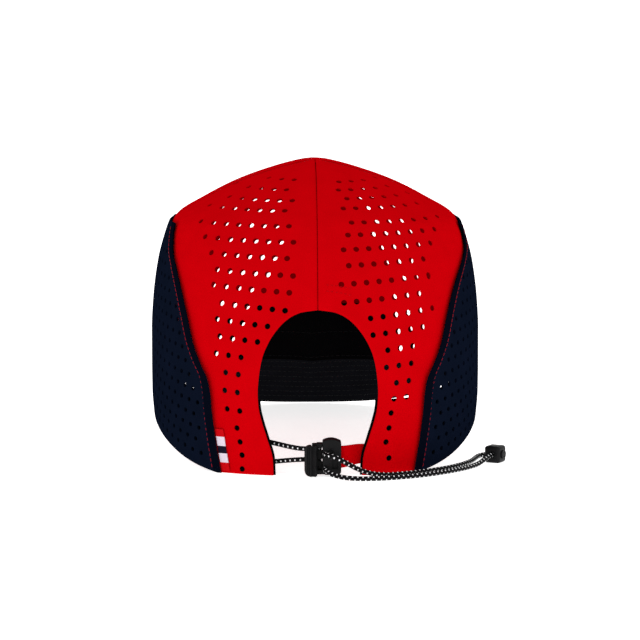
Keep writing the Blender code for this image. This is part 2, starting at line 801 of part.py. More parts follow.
def held_cord_route(turn_x, sleeve_mouth, turn_y):
    """Route of the held loop: buckle, sleeve, half-turn and back to the buckle."""
    buckle_y = -(BUCKLE_REAR - HELD_CORD_INSET)
    mouth = BLOCK_LEFT - PART_GAP
    far = turn_x + SLEEVE_CLEARANCE + CORD_DIAMETER / 2 + CORD_TURN_RADIUS
    middle = SLEEVE_FOOT + 0.5 * SLEEVE_HEIGHT
    entry = far + STRAIGHT_SHARE * (mouth - far)
    route = [(mouth, buckle_y, HELD_CORD_UPPER), (entry, buckle_y, HELD_CORD_UPPER),
             (sleeve_mouth, turn_y, middle + CORD_TURN_RADIUS)]
    for k in range(7):
        turn = math.pi * k / 6
        across, up = CORD_TURN_RADIUS * math.sin(turn), CORD_TURN_RADIUS * math.cos(turn)
        route.append((far - across, turn_y, middle + up))
    route += [(sleeve_mouth, turn_y, middle - CORD_TURN_RADIUS),
              (entry, buckle_y, HELD_CORD_LOWER), (mouth, buckle_y, HELD_CORD_LOWER)]
    return route


def free_cord_route():
    """Route of the free loop: the inner run, the bore of the stopper and the outer run."""
    heading = math.radians(BEAD_TURN)
    half = 0.5 * BEAD_SIZE
    bead = []
    for share in (0.6, 0.0, -0.6):
        x = BEAD_CENTRE[0] + math.cos(heading) * half * share
        y = BEAD_CENTRE[1] + math.sin(heading) * half * share
        bead.append((x, y, half))
    return INNER_CORD_ROUTE + bead + OUTER_CORD_ROUTE


def block_front():
    """Front outline of the buckle block: rounded lower corners and an arched top edge."""
    outline = []
    corners = ((BLOCK_LEFT + BLOCK_CORNER, 180.0), (BLOCK_RIGHT - BLOCK_CORNER, 270.0))
    for x, start in corners:
        for k in range(5):
            turn = math.radians(start + 22.5 * k)
            outline.append((x + BLOCK_CORNER * math.cos(turn),
                            BLOCK_FOOT + BLOCK_CORNER + BLOCK_CORNER * math.sin(turn)))
    for share in np.linspace(0.0, 1.0, 9).tolist():
        arch = math.sin(math.pi * (BLOCK_ARCH_START + BLOCK_ARCH_SWEEP * share))
        x = BLOCK_RIGHT + (BLOCK_LEFT - BLOCK_RIGHT) * share
        outline.append((x, BLOCK_TOP - BLOCK_ARCH_RISE * (1.0 - arch)))
    return outline


def cheek_outline(hinge_y):
    """Plan outline of a cheek, rounded about the hinge."""
    root_x = BLOCK_LEFT + CHEEK_ROOT
    outline = [(root_x, hinge_y - BARREL_RADIUS), (root_x, hinge_y + BARREL_RADIUS)]
    for k in range(7):
        turn = math.radians(90.0 + 30.0 * k)
        outline.append((HINGE_X + BARREL_RADIUS * math.cos(turn), hinge_y + BARREL_RADIUS * math.sin(turn)))
    return outline


def buckle_body(material, root, collection, cutters):
    """Clasp body: a block with two cheeks that carry the lever, and slots for cord and tab."""
    rear = -BUCKLE_REAR
    block = prism(block_front(), rear, rear + BUCKLE_DEPTH, axis="Y")
    piece = finish_object("buckle_body", to_mesh("buckle_body", block), material, root, collection)
    hinge_y = rear + HINGE_INSET
    cheeks = (("Lower cheek", BLOCK_FOOT, LOWER_CHEEK_TOP),
              ("Upper cheek", UPPER_CHEEK_FOOT, UPPER_CHEEK_TOP))
    for name, low, high in cheeks:
        combine(piece, name, prism(cheek_outline(hinge_y), low, high), "UNION", cutters)
    bore = PIN_LENGTH + PART_GAP
    holes = (("Lower pin hole", LOWER_CHEEK_TOP - bore, LOWER_CHEEK_TOP + TOOL_MARGIN),
             ("Upper pin hole", UPPER_CHEEK_FOOT - TOOL_MARGIN, UPPER_CHEEK_FOOT + bore))
    for name, low, high in holes:
        hole = rod(PIN_RADIUS + PART_GAP, low, high)
        bmesh.ops.translate(hole, vec=(HINGE_X, hinge_y, 0.0), verts=hole.verts)
        combine(piece, name, hole, "DIFFERENCE", cutters)
    recess_right = BLOCK_RIGHT - RECESS_INSET
    recess_foot = BLOCK_FOOT + RECESS_RISE
    recess = rectangle(recess_right - RECESS_WIDTH, rear - TOOL_MARGIN, recess_right, rear + RECESS_DEPTH)
    recess = prism(recess, recess_foot, recess_foot + RECESS_HEIGHT)
    combine(piece, "Face recess", recess, "DIFFERENCE", cutters)
    ring = rod(RING_RADIUS, -RECESS_DEPTH, RECESS_DEPTH)
    bmesh.ops.rotate(ring, matrix=Matrix.Rotation(math.radians(90.0), 3, "X"), verts=ring.verts)
    bmesh.ops.translate(ring, vec=(BLOCK_RIGHT - RING_INSET, rear, BLOCK_FOOT + RING_RISE), verts=ring.verts)
    combine(piece, "Ring hole", ring, "DIFFERENCE", cutters)
    tab_y = tab_path()[0][1]
    half_depth = 0.5 * TAB_THICKNESS + PART_GAP
    half_height = 0.5 * TAB_HEIGHT + PART_GAP
    slot = rectangle(BLOCK_RIGHT - TAB_SEAT - PART_GAP, tab_y - half_depth, BLOCK_RIGHT + TOOL_MARGIN,
                     tab_y + half_depth)
    slot = prism(slot, TAB_MIDDLE - half_height, TAB_MIDDLE + half_height)
    combine(piece, "Tab slot", slot, "DIFFERENCE", cutters)


def buckle_lever(material, root, collection, cutters):
    """Lever with a ribbed thumb pad that laps over the hinge; its origin is on its axis."""
    low = LOWER_CHEEK_TOP + PART_GAP
    high = UPPER_CHEEK_FOOT - PART_GAP
    left = LEVER_LEFT - HINGE_X
    right = -BARREL_RADIUS - PART_GAP
    pad_right = THUMB_PAD_RIGHT - HINGE_X
    face = -HINGE_INSET
    outline = [(right, face + LEVER_DEPTH), (left, face + LEVER_DEPTH)]
    steps = RIB_COUNT * 6
    for k in range(steps + 1):
        wave = 0.5 - 0.5 * math.cos(2 * math.pi * k / 6)
        outline.append((left + (pad_right - left) * k / steps, face - RIB_HEIGHT * wave))
    outline += [(pad_right, face + THUMB_PAD_THICKNESS), (right, face + THUMB_PAD_THICKNESS)]
    plate = prism(outline, LEVER_FOOT, LEVER_FOOT + LEVER_HEIGHT)
    piece = finish_object("buckle_lever", to_mesh("buckle_lever", plate), material, root, collection)
    piece.location = (HINGE_X, -BUCKLE_REAR + HINGE_INSET, 0.0)
    web = rectangle(right - TOOL_MARGIN, -0.5 * WEB_THICKNESS, 0.0, 0.5 * WEB_THICKNESS)
    pin_end = PART_GAP + PIN_LENGTH
    combine(piece, "Web", prism(web, low, high), "UNION", cutters)
    combine(piece, "Barrel", rod(BARREL_RADIUS, low, high), "UNION", cutters)
    combine(piece, "Hinge pin", rod(PIN_RADIUS, low - pin_end, high + pin_end), "UNION", cutters)


def tab_path():
    """Plan path of the tab's middle, from the buckle to behind the right rear panel."""
    start = BLOCK_RIGHT - TAB_SEAT
    buckle_y = -BUCKLE_REAR + TAB_DEPTH_SHARE * BUCKLE_DEPTH
    edge = arch_half_width(TAB_MIDDLE) - BAND_OVERHANG - TAB_TUCK
    path = [(start, buckle_y), (start + TAB_LEAD, buckle_y)]
    for x in np.linspace(edge, TAB_END_X, 5).tolist():
        path.append((x, band_depth(x, TAB_MIDDLE) + TAB_CLEARANCE + 0.5 * TAB_THICKNESS))
    return path


def strap_tab(material, root, collection):
    """Red tab from the buckle to the inside of the right rear panel."""
    foot = TAB_MIDDLE - 0.5 * TAB_HEIGHT
    rows = [[Vector((x, y, z)) for x, y in tab_path()] for z in (foot, foot + TAB_HEIGHT)]
    shell("strap_tab", grid_surface(rows), TAB_THICKNESS, material, root, collection, outward=0.0)


def seam_tag(material, root, collection):
    """Small ribbon sewn in along the left seam, lying on the red panel."""
    lift = PART_GAP + TAG_THICKNESS
    rows = []
    for z in np.linspace(TAG_FOOT, TAG_FOOT + TAG_LENGTH, 5).tolist():
        edge = REAR_SEAM_SHARE(z / CROWN_HEIGHT) * (CROWN_HALF_WIDTH + OUTER_LIFT) - TAG_SEAM_GAP
        row = []
        for x in np.linspace(edge, edge - TAG_WIDTH, 4).tolist():
            row.append(Vector((-x, depth_at(x, z, True, lift), z)))
        rows.append(row)
    shell("seam_tag", grid_surface(rows), TAG_THICKNESS, material, root, collection)


def cord_stopper(material, root, collection, cutters):
    """Moulded stopper with a round boss, bored for the cord that runs through it."""
    bm = bmesh.new()
    bmesh.ops.create_cube(bm, size=BEAD_SIZE)
    bmesh.ops.bevel(bm, geom=bm.edges[:], affect="EDGES", offset=BEAD_ROUNDING, segments=2, profile=0.6)
    piece = finish_object("cord_stopper", to_mesh("cord_stopper", bm), material, root, collection)
    piece.location = (*BEAD_CENTRE, 0.5 * BEAD_SIZE)
    piece.rotation_euler = (0.0, 0.0, math.radians(BEAD_TURN))
    boss = rod(BOSS_RADIUS, 0.0, BOSS_HEIGHT + PART_GAP, sides=14)
    bmesh.ops.rotate(boss, matrix=Matrix.Rotation(math.radians(90.0), 3, "X"), verts=boss.verts)
    bmesh.ops.translate(boss, vec=(0.0, PART_GAP - 0.5 * BEAD_SIZE, 0.0), verts=boss.verts)
    combine(piece, "Boss", boss, "UNION", cutters)
    bore = rod(CORD_DIAMETER / 2 + BORE_CLEARANCE, -BEAD_SIZE, BEAD_SIZE)
    bmesh.ops.rotate(bore, matrix=Matrix.Rotation(math.radians(90.0), 3, "Y"), verts=bore.verts)
    combine(piece, "Bore", bore, "DIFFERENCE", cutters)


def clear_scene():
    """Empties the scene of its objects."""
    for old in list(bpy.data.objects):
        bpy.data.objects.remove(old, do_unlink=True)


def new_collection(name):
    """A named collection linked into the scene."""
    collection = bpy.data.collections.new(name)
    bpy.context.scene.collection.children.link(collection)
    return collection


def frame_shift():
    """Way forward from the part frame's origin to the crown's widest level: it centres the cap."""
    base = CROWN_FRONT_DEPTH * FRONT_SHARE(RIM_FRONT_RISE / CROWN_HEIGHT) + PART_GAP
    front = base + VISOR_REACH + VISOR_THICKNESS * math.sin(math.atan(VISOR_SLOPE))
    rear = BUCKLE_REAR + RIB_HEIGHT
    return -0.5 * (front - rear)


def main():
    """Builds every sub-part of the cap."""
    clear_scene()
    parts = new_collection("running_cap")
    cutters = new_collection("cutters")
    root = bpy.data.objects.new("cap_frame", None)
    root.location = (0.0, frame_shift(), 0.0)
    parts.objects.link(root)

    red = new_material("Red cloth", (0.60, 0.0, 0.003), 0.8)
    navy = new_material("Navy cloth", (0.004, 0.006, 0.018), 0.85)
    black_cloth = new_material("Black cloth", (0.005, 0.005, 0.006), 0.9)
    plastic = new_material("Black plastic", (0.006, 0.006, 0.006), 0.4)
    elastic = new_material("Black elastic", (0.008, 0.008, 0.008), 0.7)
    ribbon = new_material("White ribbon", (0.8, 0.78, 0.8), 0.7)

    for side in (-1, 1):
        rear_panel(side, red, root, parts)
        side_panel(side, navy, root, parts)
    front_panel(red, root, parts)
    visor(black_cloth, root, parts)
    sweatband(black_cloth, root, parts)
    sleeve = cord_tunnel(black_cloth, root, parts)
    cord("cord_held", smooth_path(held_cord_route(*sleeve), 26), elastic, root, parts)
    buckle_body(plastic, root, parts, cutters)
    buckle_lever(plastic, root, parts, cutters)
    strap_tab(red, root, parts)
    seam_tag(ribbon, root, parts)
    cord("cord_tail", smooth_path(free_cord_route(), 64), elastic, root, parts)
    cord_stopper(plastic, root, parts, cutters)


main()
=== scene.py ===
"""Running cap seen from behind: perforated cloth, seams, visor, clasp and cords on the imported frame.

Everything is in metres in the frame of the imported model: +X is the wearer's right, +Y is forward
along the visor, +Z is up, and the cap rests on z = 0.
"""
import logging
import math
from dataclasses import dataclass, field
from enum import Enum
from typing import Callable, Sequence

import bpy
import numpy as np
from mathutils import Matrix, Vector
from mathutils.geometry import delaunay_2d_cdt


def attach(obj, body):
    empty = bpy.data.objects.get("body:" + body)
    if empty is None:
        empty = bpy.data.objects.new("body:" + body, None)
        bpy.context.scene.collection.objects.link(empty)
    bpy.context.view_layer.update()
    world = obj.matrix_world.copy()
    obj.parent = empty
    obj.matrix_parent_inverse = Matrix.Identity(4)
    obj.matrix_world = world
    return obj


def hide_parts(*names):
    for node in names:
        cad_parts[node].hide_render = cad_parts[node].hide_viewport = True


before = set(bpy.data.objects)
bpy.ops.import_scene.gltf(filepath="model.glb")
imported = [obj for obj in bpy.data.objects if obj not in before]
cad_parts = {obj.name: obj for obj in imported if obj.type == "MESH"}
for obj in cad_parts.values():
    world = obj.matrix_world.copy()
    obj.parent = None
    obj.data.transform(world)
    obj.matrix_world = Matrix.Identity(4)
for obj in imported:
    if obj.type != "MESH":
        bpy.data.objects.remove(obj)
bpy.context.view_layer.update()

LOG = logging.getLogger("running_cap")
MM = 0.001
TINY = 1e-12
Array = np.ndarray
Piece = bpy.types.Object
Material = bpy.types.Material
Socket = bpy.types.NodeSocket
Point = Sequence[float]

# Sharpest bend, in degrees, that is still shaded smooth
SMOOTH_ANGLE = 40.0


class Side(Enum):
    """Left or right half of the cap, as the wearer has it."""

    LEFT = -1
    RIGHT = 1


@dataclass(frozen=True)
class HoleRow:
    """One row of holes, in millimetres: its height at the reference x, and the span of x that it fills."""

    height: float
    first: float
    last: float


def hole_rows(*rows: tuple[float, float, float]) -> tuple[HoleRow, ...]:
    """The rows of one panel."""
    return tuple(HoleRow(*row) for row in rows)


# Charted from the two rear panels, from the top down: height, first x and last x
HOLE_ROWS = {
    Side.LEFT: hole_rows(
        (144.3, 11.2, 34.0), (140.0, 15.2, 45.0), (135.2, 12.4, 50.0), (130.6, 16.2, 63.0),
        (123.6, 14.2, 62.0), (116.6, 12.0, 61.0), (109.3, 15.2, 58.0), (101.6, 12.3, 55.0),
        (93.9, 14.2, 58.0), (85.6, 16.3, 54.0), (77.3, 12.4, 56.0), (69.0, 30.0, 50.0),
        (60.2, 38.2, 52.0), (51.4, 14.4, 46.0), (42.3, 14.9, 47.0), (33.1, 38.9, 48.0)),
    Side.RIGHT: hole_rows(
        (143.4, 11.4, 45.0), (139.9, 11.0, 52.0), (136.0, 15.2, 58.0), (131.6, 13.2, 61.0),
        (125.1, 17.2, 62.0), (119.6, 15.3, 61.0), (113.2, 13.0, 59.0), (106.0, 15.5, 57.0),
        (97.7, 11.7, 60.0), (89.4, 13.0, 56.0), (80.9, 13.6, 59.0), (72.6, 14.8, 53.0),
        (64.1, 15.9, 52.0), (55.6, 15.2, 48.0), (47.1, 14.0, 48.0), (39.2, 12.8, 48.0)),
}

# x and height, in millimetres, of the single column of holes down to the hem
HEM_COLUMN = {
    Side.LEFT: ((40.3, 23.4), (38.8, 16.4), (37.8, 9.7), (37.8, 2.6)),
    Side.RIGHT: ((36.5, 31.1), (35.5, 23.5), (34.0, 16.4), (35.6, 8.1)),
}

# Shares of the crown's height, half-width, rear depth and front depth
CROWN_LEVELS = (
    (0.000, 0.972, 0.968, 0.968), (0.030, 0.972, 0.968, 0.968), (0.125, 0.985, 0.980, 0.980),
    (0.212, 0.998, 0.992, 0.992), (0.303, 1.000, 1.000, 1.000), (0.422, 1.000, 0.990, 0.995),
    (0.526, 0.990, 0.962, 0.975), (0.645, 0.962, 0.912, 0.940), (0.723, 0.927, 0.860, 0.895),
    (0.795, 0.880, 0.785, 0.830), (0.814, 0.855, 0.762, 0.805), (0.861, 0.713, 0.680, 0.725),
    (0.918, 0.509, 0.550, 0.590), (0.959, 0.305, 0.410, 0.440), (0.987, 0.122, 0.240, 0.260),
    (1.000, 0.000, 0.000, 0.000),
)

# Shares of a height and of a half-width along the two side seams and round the rear opening
REAR_SEAM = (
    (0.000, 0.573), (0.101, 0.603), (0.198, 0.625), (0.258, 0.634), (0.308, 0.651), (0.356, 0.695),
    (0.414, 0.737), (0.502, 0.776), (0.591, 0.817), (0.650, 0.845), (0.705, 0.868), (0.756, 0.865),
    (0.797, 0.850),
)
FRONT_SEAM = ((0.000, 0.780), (0.198, 0.800), (0.446, 0.835), (0.644, 0.862), (0.756, 0.868), (0.797, 0.856))
ARCH = (
    (0.000, 0.740), (0.095, 0.750), (0.230, 0.850), (0.330, 0.935), (0.410, 0.985), (0.500, 1.000),
    (0.600, 0.980), (0.710, 0.925), (0.800, 0.825), (0.885, 0.670), (0.945, 0.500), (0.985, 0.280),
    (1.000, 0.000),
)


class SmoothTable:
    """Monotone cubic curve through one column of a table, over the table's first column."""

    def __init__(self, rows: Sequence[tuple[float, ...]], column: int) -> None:
        """Prepares the curve's tangents.

        Args:
            rows: the table, with rising places in its first column.
            column: number of the column that the curve goes through.
        """
        self.places, self.values = np.array(rows).T[[0, column]]
        self.steps = np.diff(self.places)
        slopes = np.diff(self.values) / self.steps
        self.tangents = np.concatenate([[slopes[0]], np.zeros(len(slopes) - 1), [slopes[-1]]])
        for i in range(1, len(slopes)):
            if slopes[i - 1] * slopes[i] > 0:
                self.tangents[i] = 2.0 / (1.0 / slopes[i - 1] + 1.0 / slopes[i])

    def __call__(self, place: Array) -> Array:
        """The curve's value.

        Args:
            place: one place or an array of them, kept within the table.

        Returns:
            The value at each place.
        """
        place = np.clip(place, self.places[0], self.places[-1])
        i = np.clip(np.searchsorted(self.places, place, side="right") - 1, 0, len(self.steps) - 1)
        step = self.steps[i]
        t = (place - self.places[i]) / step
        return ((1 + 2 * t) * (1 - t) ** 2 * self.values[i] + t * (1 - t) ** 2 * step * self.tangents[i]
                + t * t * (3 - 2 * t) * self.values[i + 1] + t * t * (t - 1) * step * self.tangents[i + 1])


def running_length(points: Array) -> Array:
    """Length along a row of points, zero at the first."""
    return np.concatenate([[0.0], np.cumsum(np.linalg.norm(np.diff(points, axis=0), axis=1))])


@dataclass
class Crown:
    """The crown's form: level sections, rim, roof line, rear opening and side seams."""

    centre_y: float = -41.01 * MM
    half_width: float = 82.7 * MM
    rear_depth: float = 86.0 * MM
    front_depth: float = 110.0 * MM
    height: float = 152.0 * MM
    rear_squareness: float = 2.3
    front_squareness: float = 2.05
    row_bend_share: float = 0.645
    lap_lift: float = 1.65 * MM
    seam_top: float = 0.797
    rim_front_rise: float = 32.0 * MM
    rim_side_rise: float = 8.8 * MM
    rim_side_start: float = 0.4
    rim_flat_depth: float = 70.0 * MM
    arch_height: float = 83.2 * MM
    arch_half: float = 30.0 * MM
    bulge: float = 3.4 * MM
    bulge_height: float = 108.0 * MM
    bulge_run: float = 15.0 * MM
    middle_share: float = 0.4
    roof_steps: int = 160

    def __post_init__(self) -> None:
        """Prepares the curves, the roof line and the middle of the head."""
        self.side, self.rear, self.front = (SmoothTable(CROWN_LEVELS, column) for column in (1, 2, 3))
        self.rear_seam, self.front_seam = SmoothTable(REAR_SEAM, 1), SmoothTable(FRONT_SEAM, 1)
        self.arch = SmoothTable(ARCH, 1)
        widest = max(share for share, side, _, _ in CROWN_LEVELS if side == 1.0)
        shares = np.linspace(1.0, widest, self.roof_steps)
        self.roof_places, self.roof_heights = self.side(shares) * self.half_width, shares * self.height
        self.lapped_half_width = self.half_width + self.lap_lift
        self.middle = np.array([0.0, self.centre_y, self.middle_share * self.height])

    def axes(self, z: Array, rear: bool, lift: float = 0.0) -> tuple[Array, Array]:
        """Measures the level section.

        Args:
            z: its height.
            rear: True for the rear half and False for the front one.
            lift: distance outside the crown's face.

        Returns:
            Its half-width and its depth.
        """
        share = z / (self.height + lift)
        full, table = (self.rear_depth, self.rear) if rear else (self.front_depth, self.front)
        return (self.half_width + lift) * self.side(share), (full + lift) * table(share)

    def level_point(self, angle: Array, z: Array, lift: float = 0.0) -> Array:
        """Points of level sections.

        Args:
            angle: plan angle, 0 at the rear, 90 at the right side and 180 at the front.
            z: height.
            lift: distance outside the crown's face.

        Returns:
            The points.
        """
        sine, cosine = np.sin(np.radians(angle)), np.cos(np.radians(angle))
        rear_width, rear_depth = self.axes(z, True, lift)
        front_width, front_depth = self.axes(z, False, lift)
        rear = cosine >= 0
        power = np.where(rear, 2.0 / self.rear_squareness, 2.0 / self.front_squareness)
        x = np.where(rear, rear_width, front_width) * np.sign(sine) * np.abs(sine) ** power
        y = -np.where(rear, rear_depth, front_depth) * np.sign(cosine) * np.abs(cosine) ** power
        return np.stack(np.broadcast_arrays(x, self.centre_y + y, z), axis=-1)

    def level_angle(self, x: Array, z: Array, rear: bool, lift: float = 0.0) -> Array:
        """Plan angle at which the level section reaches x.

        Args:
            x: distance from the middle.
            z: height.
            rear: True for the rear half and False for the front one.
            lift: distance outside the crown's face.

        Returns:
            The angle, from 0 to 180.
        """
        power = (self.rear_squareness if rear else self.front_squareness) / 2.0
        width, _ = self.axes(z, rear, lift)
        angle = np.degrees(np.arcsin(np.clip(np.abs(x) / width, 0.0, 1.0) ** power))
        return angle if rear else 180.0 - angle

    def depth_at(self, x: Array, z: Array, rear: bool, lift: float = 0.0) -> Array:
        """Y of the crown's face.

        Args:
            x: distance from the middle.
            z: height.
            rear: True for the rear half and False for the front one.
            lift: distance outside the crown's face.

        Returns:
            Y there.
        """
        width, depth = self.axes(z, rear, lift)
        power = self.rear_squareness if rear else self.front_squareness
        share = np.clip(np.abs(x) / np.maximum(width, TINY), 0.0, 1.0)
        y = depth * (1.0 - share ** power) ** (1.0 / power)
        return self.centre_y + (-y if rear else y)

    def rim_height(self, angle: Array) -> Array:
        """Height of the rim, which is flat at the rear and rises towards the visor.

        Args:
            angle: plan angle.

        Returns:
            The height.
        """
        y = self.level_point(angle, 0.0)[..., 1] - self.centre_y
        run = self.front_depth * self.front(0.0) + self.rim_flat_depth
        share = np.clip((y + self.rim_flat_depth) / run, 0.0, 1.0)
        side = np.sin(0.5 * math.pi * np.minimum(1.0, share / self.rim_side_start))
        return self.rim_front_rise * share + self.rim_side_rise * side * np.abs(np.sin(np.radians(angle)))

    def row_height(self, x: Array, centre: Array) -> Array:
        """Height of a cloth row: level low down, following the crosswise seam at the top.

        Args:
            x: distance from the middle.
            centre: the row's height in the middle.

        Returns:
            Its height at x.
        """
        bend = self.height - self.row_bend_share * self.height
        follow = np.maximum(0.0, 1.0 - (self.height - centre) / bend)
        return centre - follow * (self.height - np.interp(np.abs(x), self.roof_places, self.roof_heights))

    def arch_half_width(self, z: Array) -> Array:
        """Half-width of the rear opening at a height, zero above it."""
        return np.where(z < self.arch_height, self.arch_half * self.arch(z / self.arch_height), 0.0)

    def seam_bulge(self, side: Side, z: Array) -> Array:
        """How much farther out than the left one the right rear seam runs, at its shoulder most."""
        full = self.bulge if side is Side.RIGHT else 0.0
        return full * np.exp(-((z - self.bulge_height) / self.bulge_run) ** 2)


CROWN = Crown()


class ClothMap:
    """A panel laid flat: u across and v up it, in metres along the cloth, and its place on the cap."""

    v_rows: Array
    u_columns: Array
    table: Array

    def points(self, u: Array, v: Array) -> Array:
        """Points of the panel's outer face."""
        raise NotImplementedError

    def look_up(self, u: Array, v: Array) -> Array:
        """Reads the map's table.

        Args:
            u: places across the cloth.
            v: places up the cloth.

        Returns:
            The table's value, evened out between its rows and columns.
        """
        i = np.clip(np.searchsorted(self.v_rows, v) - 1, 0, len(self.v_rows) - 2)
        j = np.clip(np.searchsorted(self.u_columns, u) - 1, 0, len(self.u_columns) - 2)
        s = np.clip((v - self.v_rows[i]) / (self.v_rows[i + 1] - self.v_rows[i]), 0.0, 1.0)
        t = (u - self.u_columns[j]) / (self.u_columns[j + 1] - self.u_columns[j])
        low, high = (self.table[k, j] * (1 - t) + self.table[k, j + 1] * t for k in (i, i + 1))
        return low * (1 - s) + high * s

    def tangents(self, u: Array, v: Array) -> tuple[Array, Array]:
        """Change of place for each metre across and up the cloth."""
        step = 0.1 * MM
        return ((self.points(u + step, v) - self.points(u - step, v)) / (2 * step),
                (self.points(u, v + step) - self.points(u, v - step)) / (2 * step))

    def lifted(self, u: Array, v: Array, lift: Array | float) -> Array:
        """Points raised off the panel's face.

        Args:
            u: places across the cloth.
            v: places up the cloth.
            lift: distance along the outward normal.

        Returns:
            The points.
        """
        normal = np.cross(*self.tangents(u, v))
        normal /= np.maximum(np.linalg.norm(normal, axis=-1, keepdims=True), TINY)
        place = self.points(u, v)
        outward = np.sum(normal * (place - CROWN.middle), axis=-1, keepdims=True)
        return place + normal * np.sign(outward) * np.asarray(lift)[..., None]

    def round_hole(self, u: float, v: float, radius: float, sides: int) -> Array:
        """Outline, on the flat cloth, of a hole that is round on the cap.

        Args:
            u: the hole's middle across the cloth.
            v: its middle up the cloth.
            radius: its radius.
            sides: number of points round it.

        Returns:
            The outline.
        """
        pull = np.stack(self.tangents(u, v), axis=-1)
        values, vectors = np.linalg.eigh(pull.T @ pull)
        unstretch = vectors @ np.diag(1.0 / np.sqrt(np.maximum(values, 0.05))) @ vectors.T
        turn = np.linspace(0.0, 2 * math.pi, sides, endpoint=False)
        return np.array([u, v]) + radius * np.stack([np.cos(turn), np.sin(turn)], axis=1) @ unstretch


@dataclass
class RedMap(ClothMap):
    """Half of the red crown, rear or front: u from the centre seam, v up the centre line."""

    rear: bool
    side: Side
    columns: int = 110
    rows: int = 150
    widest: float = 135.0 * MM
    centre_steps: int = 240
    x_steps: int = 160
    x_share: float = 0.998
    locate_steps: int = 260
    seam_gap: float = 0.3 * MM
    underlap: float = 5.0 * MM

    def __post_init__(self) -> None:
        """Measures the cloth row by row up the centre line."""
        self.foot = 0.0 if self.rear else float(CROWN.rim_height(180.0))
        rise = np.sin(np.linspace(0.0, math.pi / 2, self.centre_steps))
        self.centres = self.foot + (CROWN.height - self.foot) * rise
        self.lengths = running_length(self.row_points(0.0, self.centres))
        self.total = float(self.lengths[-1])
        self.v_rows = np.linspace(0.0, self.total, self.rows)
        self.u_columns = np.linspace(0.0, self.widest, self.columns)
        xs = np.linspace(0.0, self.x_share * CROWN.half_width, self.x_steps)
        outer = self.x_steps // 2
        seam = CROWN.rear_seam if self.rear else CROWN.front_seam
        table, seams, reach = [], [], []
        for centre in np.interp(self.v_rows, self.lengths, self.centres):
            run = running_length(self.row_points(xs, centre))
            table.append(np.interp(self.u_columns, run, xs))
            share = np.minimum(self.height_at(xs, centre) / CROWN.height, CROWN.seam_top)
            over = xs - seam(share) * CROWN.lapped_half_width
            if self.rear:
                over -= CROWN.seam_bulge(self.side, share * CROWN.height)
            at = np.interp(0.0, over[outer:], xs[outer:]) if over[-1] > 0 else xs[-1]
            seams.append(np.interp(at, xs, run))
            reach.append(run[-1])
        self.table, self.seams, self.reach = np.array(table), np.array(seams), np.array(reach)

    def height_at(self, x: Array, centre: Array) -> Array:
        """Height of a row.

        Args:
            x: distance from the middle.
            centre: the row's height in the middle.

        Returns:
            Its height at x; in front the lowest row follows the rim.
        """
        z = CROWN.row_height(x, centre)
        if self.rear:
            return z
        drop = CROWN.rim_height(CROWN.level_angle(x, 0.0, False)) - self.foot
        return z + drop * (1.0 - (centre - self.foot) / (CROWN.height - self.foot)) ** 2

    def row_points(self, x: Array, centre: Array) -> Array:
        """Points of a row at the given distances from the middle."""
        z = self.height_at(x, centre)
        return np.stack(np.broadcast_arrays(x, CROWN.depth_at(x, z, self.rear), z), axis=-1)

    def across(self, u: Array, v: Array) -> Array:
        """x of a place on the cloth."""
        return self.look_up(np.abs(u), v) * np.sign(u)

    def centre(self, v: Array) -> Array:
        """Height of a row at the centre seam."""
        return np.interp(v, self.lengths, self.centres)

    def length(self, height: float) -> float:
        """Length of cloth up the centre line to a height."""
        return float(np.interp(height, self.centres, self.lengths))

    def points(self, u: Array, v: Array) -> Array:
        """Points of the panel's outer face."""
        x = self.across(u, v)
        place = self.row_points(np.abs(x), self.centre(v))
        place[..., 0] = x * self.side.value
        return place

    def locate(self, x: float, z: float) -> tuple[float, float]:
        """Place on the flat cloth of a point of the cap.

        Args:
            x: the point's x.
            z: its height.

        Returns:
            u, signed like x, and v.
        """
        rows = np.linspace(0.0, self.total, self.locate_steps)
        v = float(np.interp(z, self.height_at(abs(x), self.centre(rows)), rows, right=self.total))
        u = float(np.interp(abs(x), self.across(self.u_columns, v), self.u_columns))
        return math.copysign(u, x), v

    def seam_distance(self, v: Array) -> Array:
        """Distance from the centre seam to the edge of the side panel that laps over the cloth."""
        return np.interp(v, self.v_rows, self.seams)

    def inner_limit(self, v: Array) -> Array:
        """Distance from the centre seam at which the rear cloth starts.

        Args:
            v: places up the cloth.

        Returns:
            The edge of the opening, and above it half the gap of the seam.
        """
        half = np.maximum(CROWN.arch_half_width(self.centre(v)), self.seam_gap / 2)
        u = half
        for _ in range(4):
            u = u + half - self.across(u, v)
        return u

    def outer_limit(self, v: Array) -> Array:
        """Distance from the centre seam at which the cloth ends, under the side panel."""
        return np.minimum(self.seam_distance(v) + self.underlap, np.interp(v, self.v_rows, self.reach))


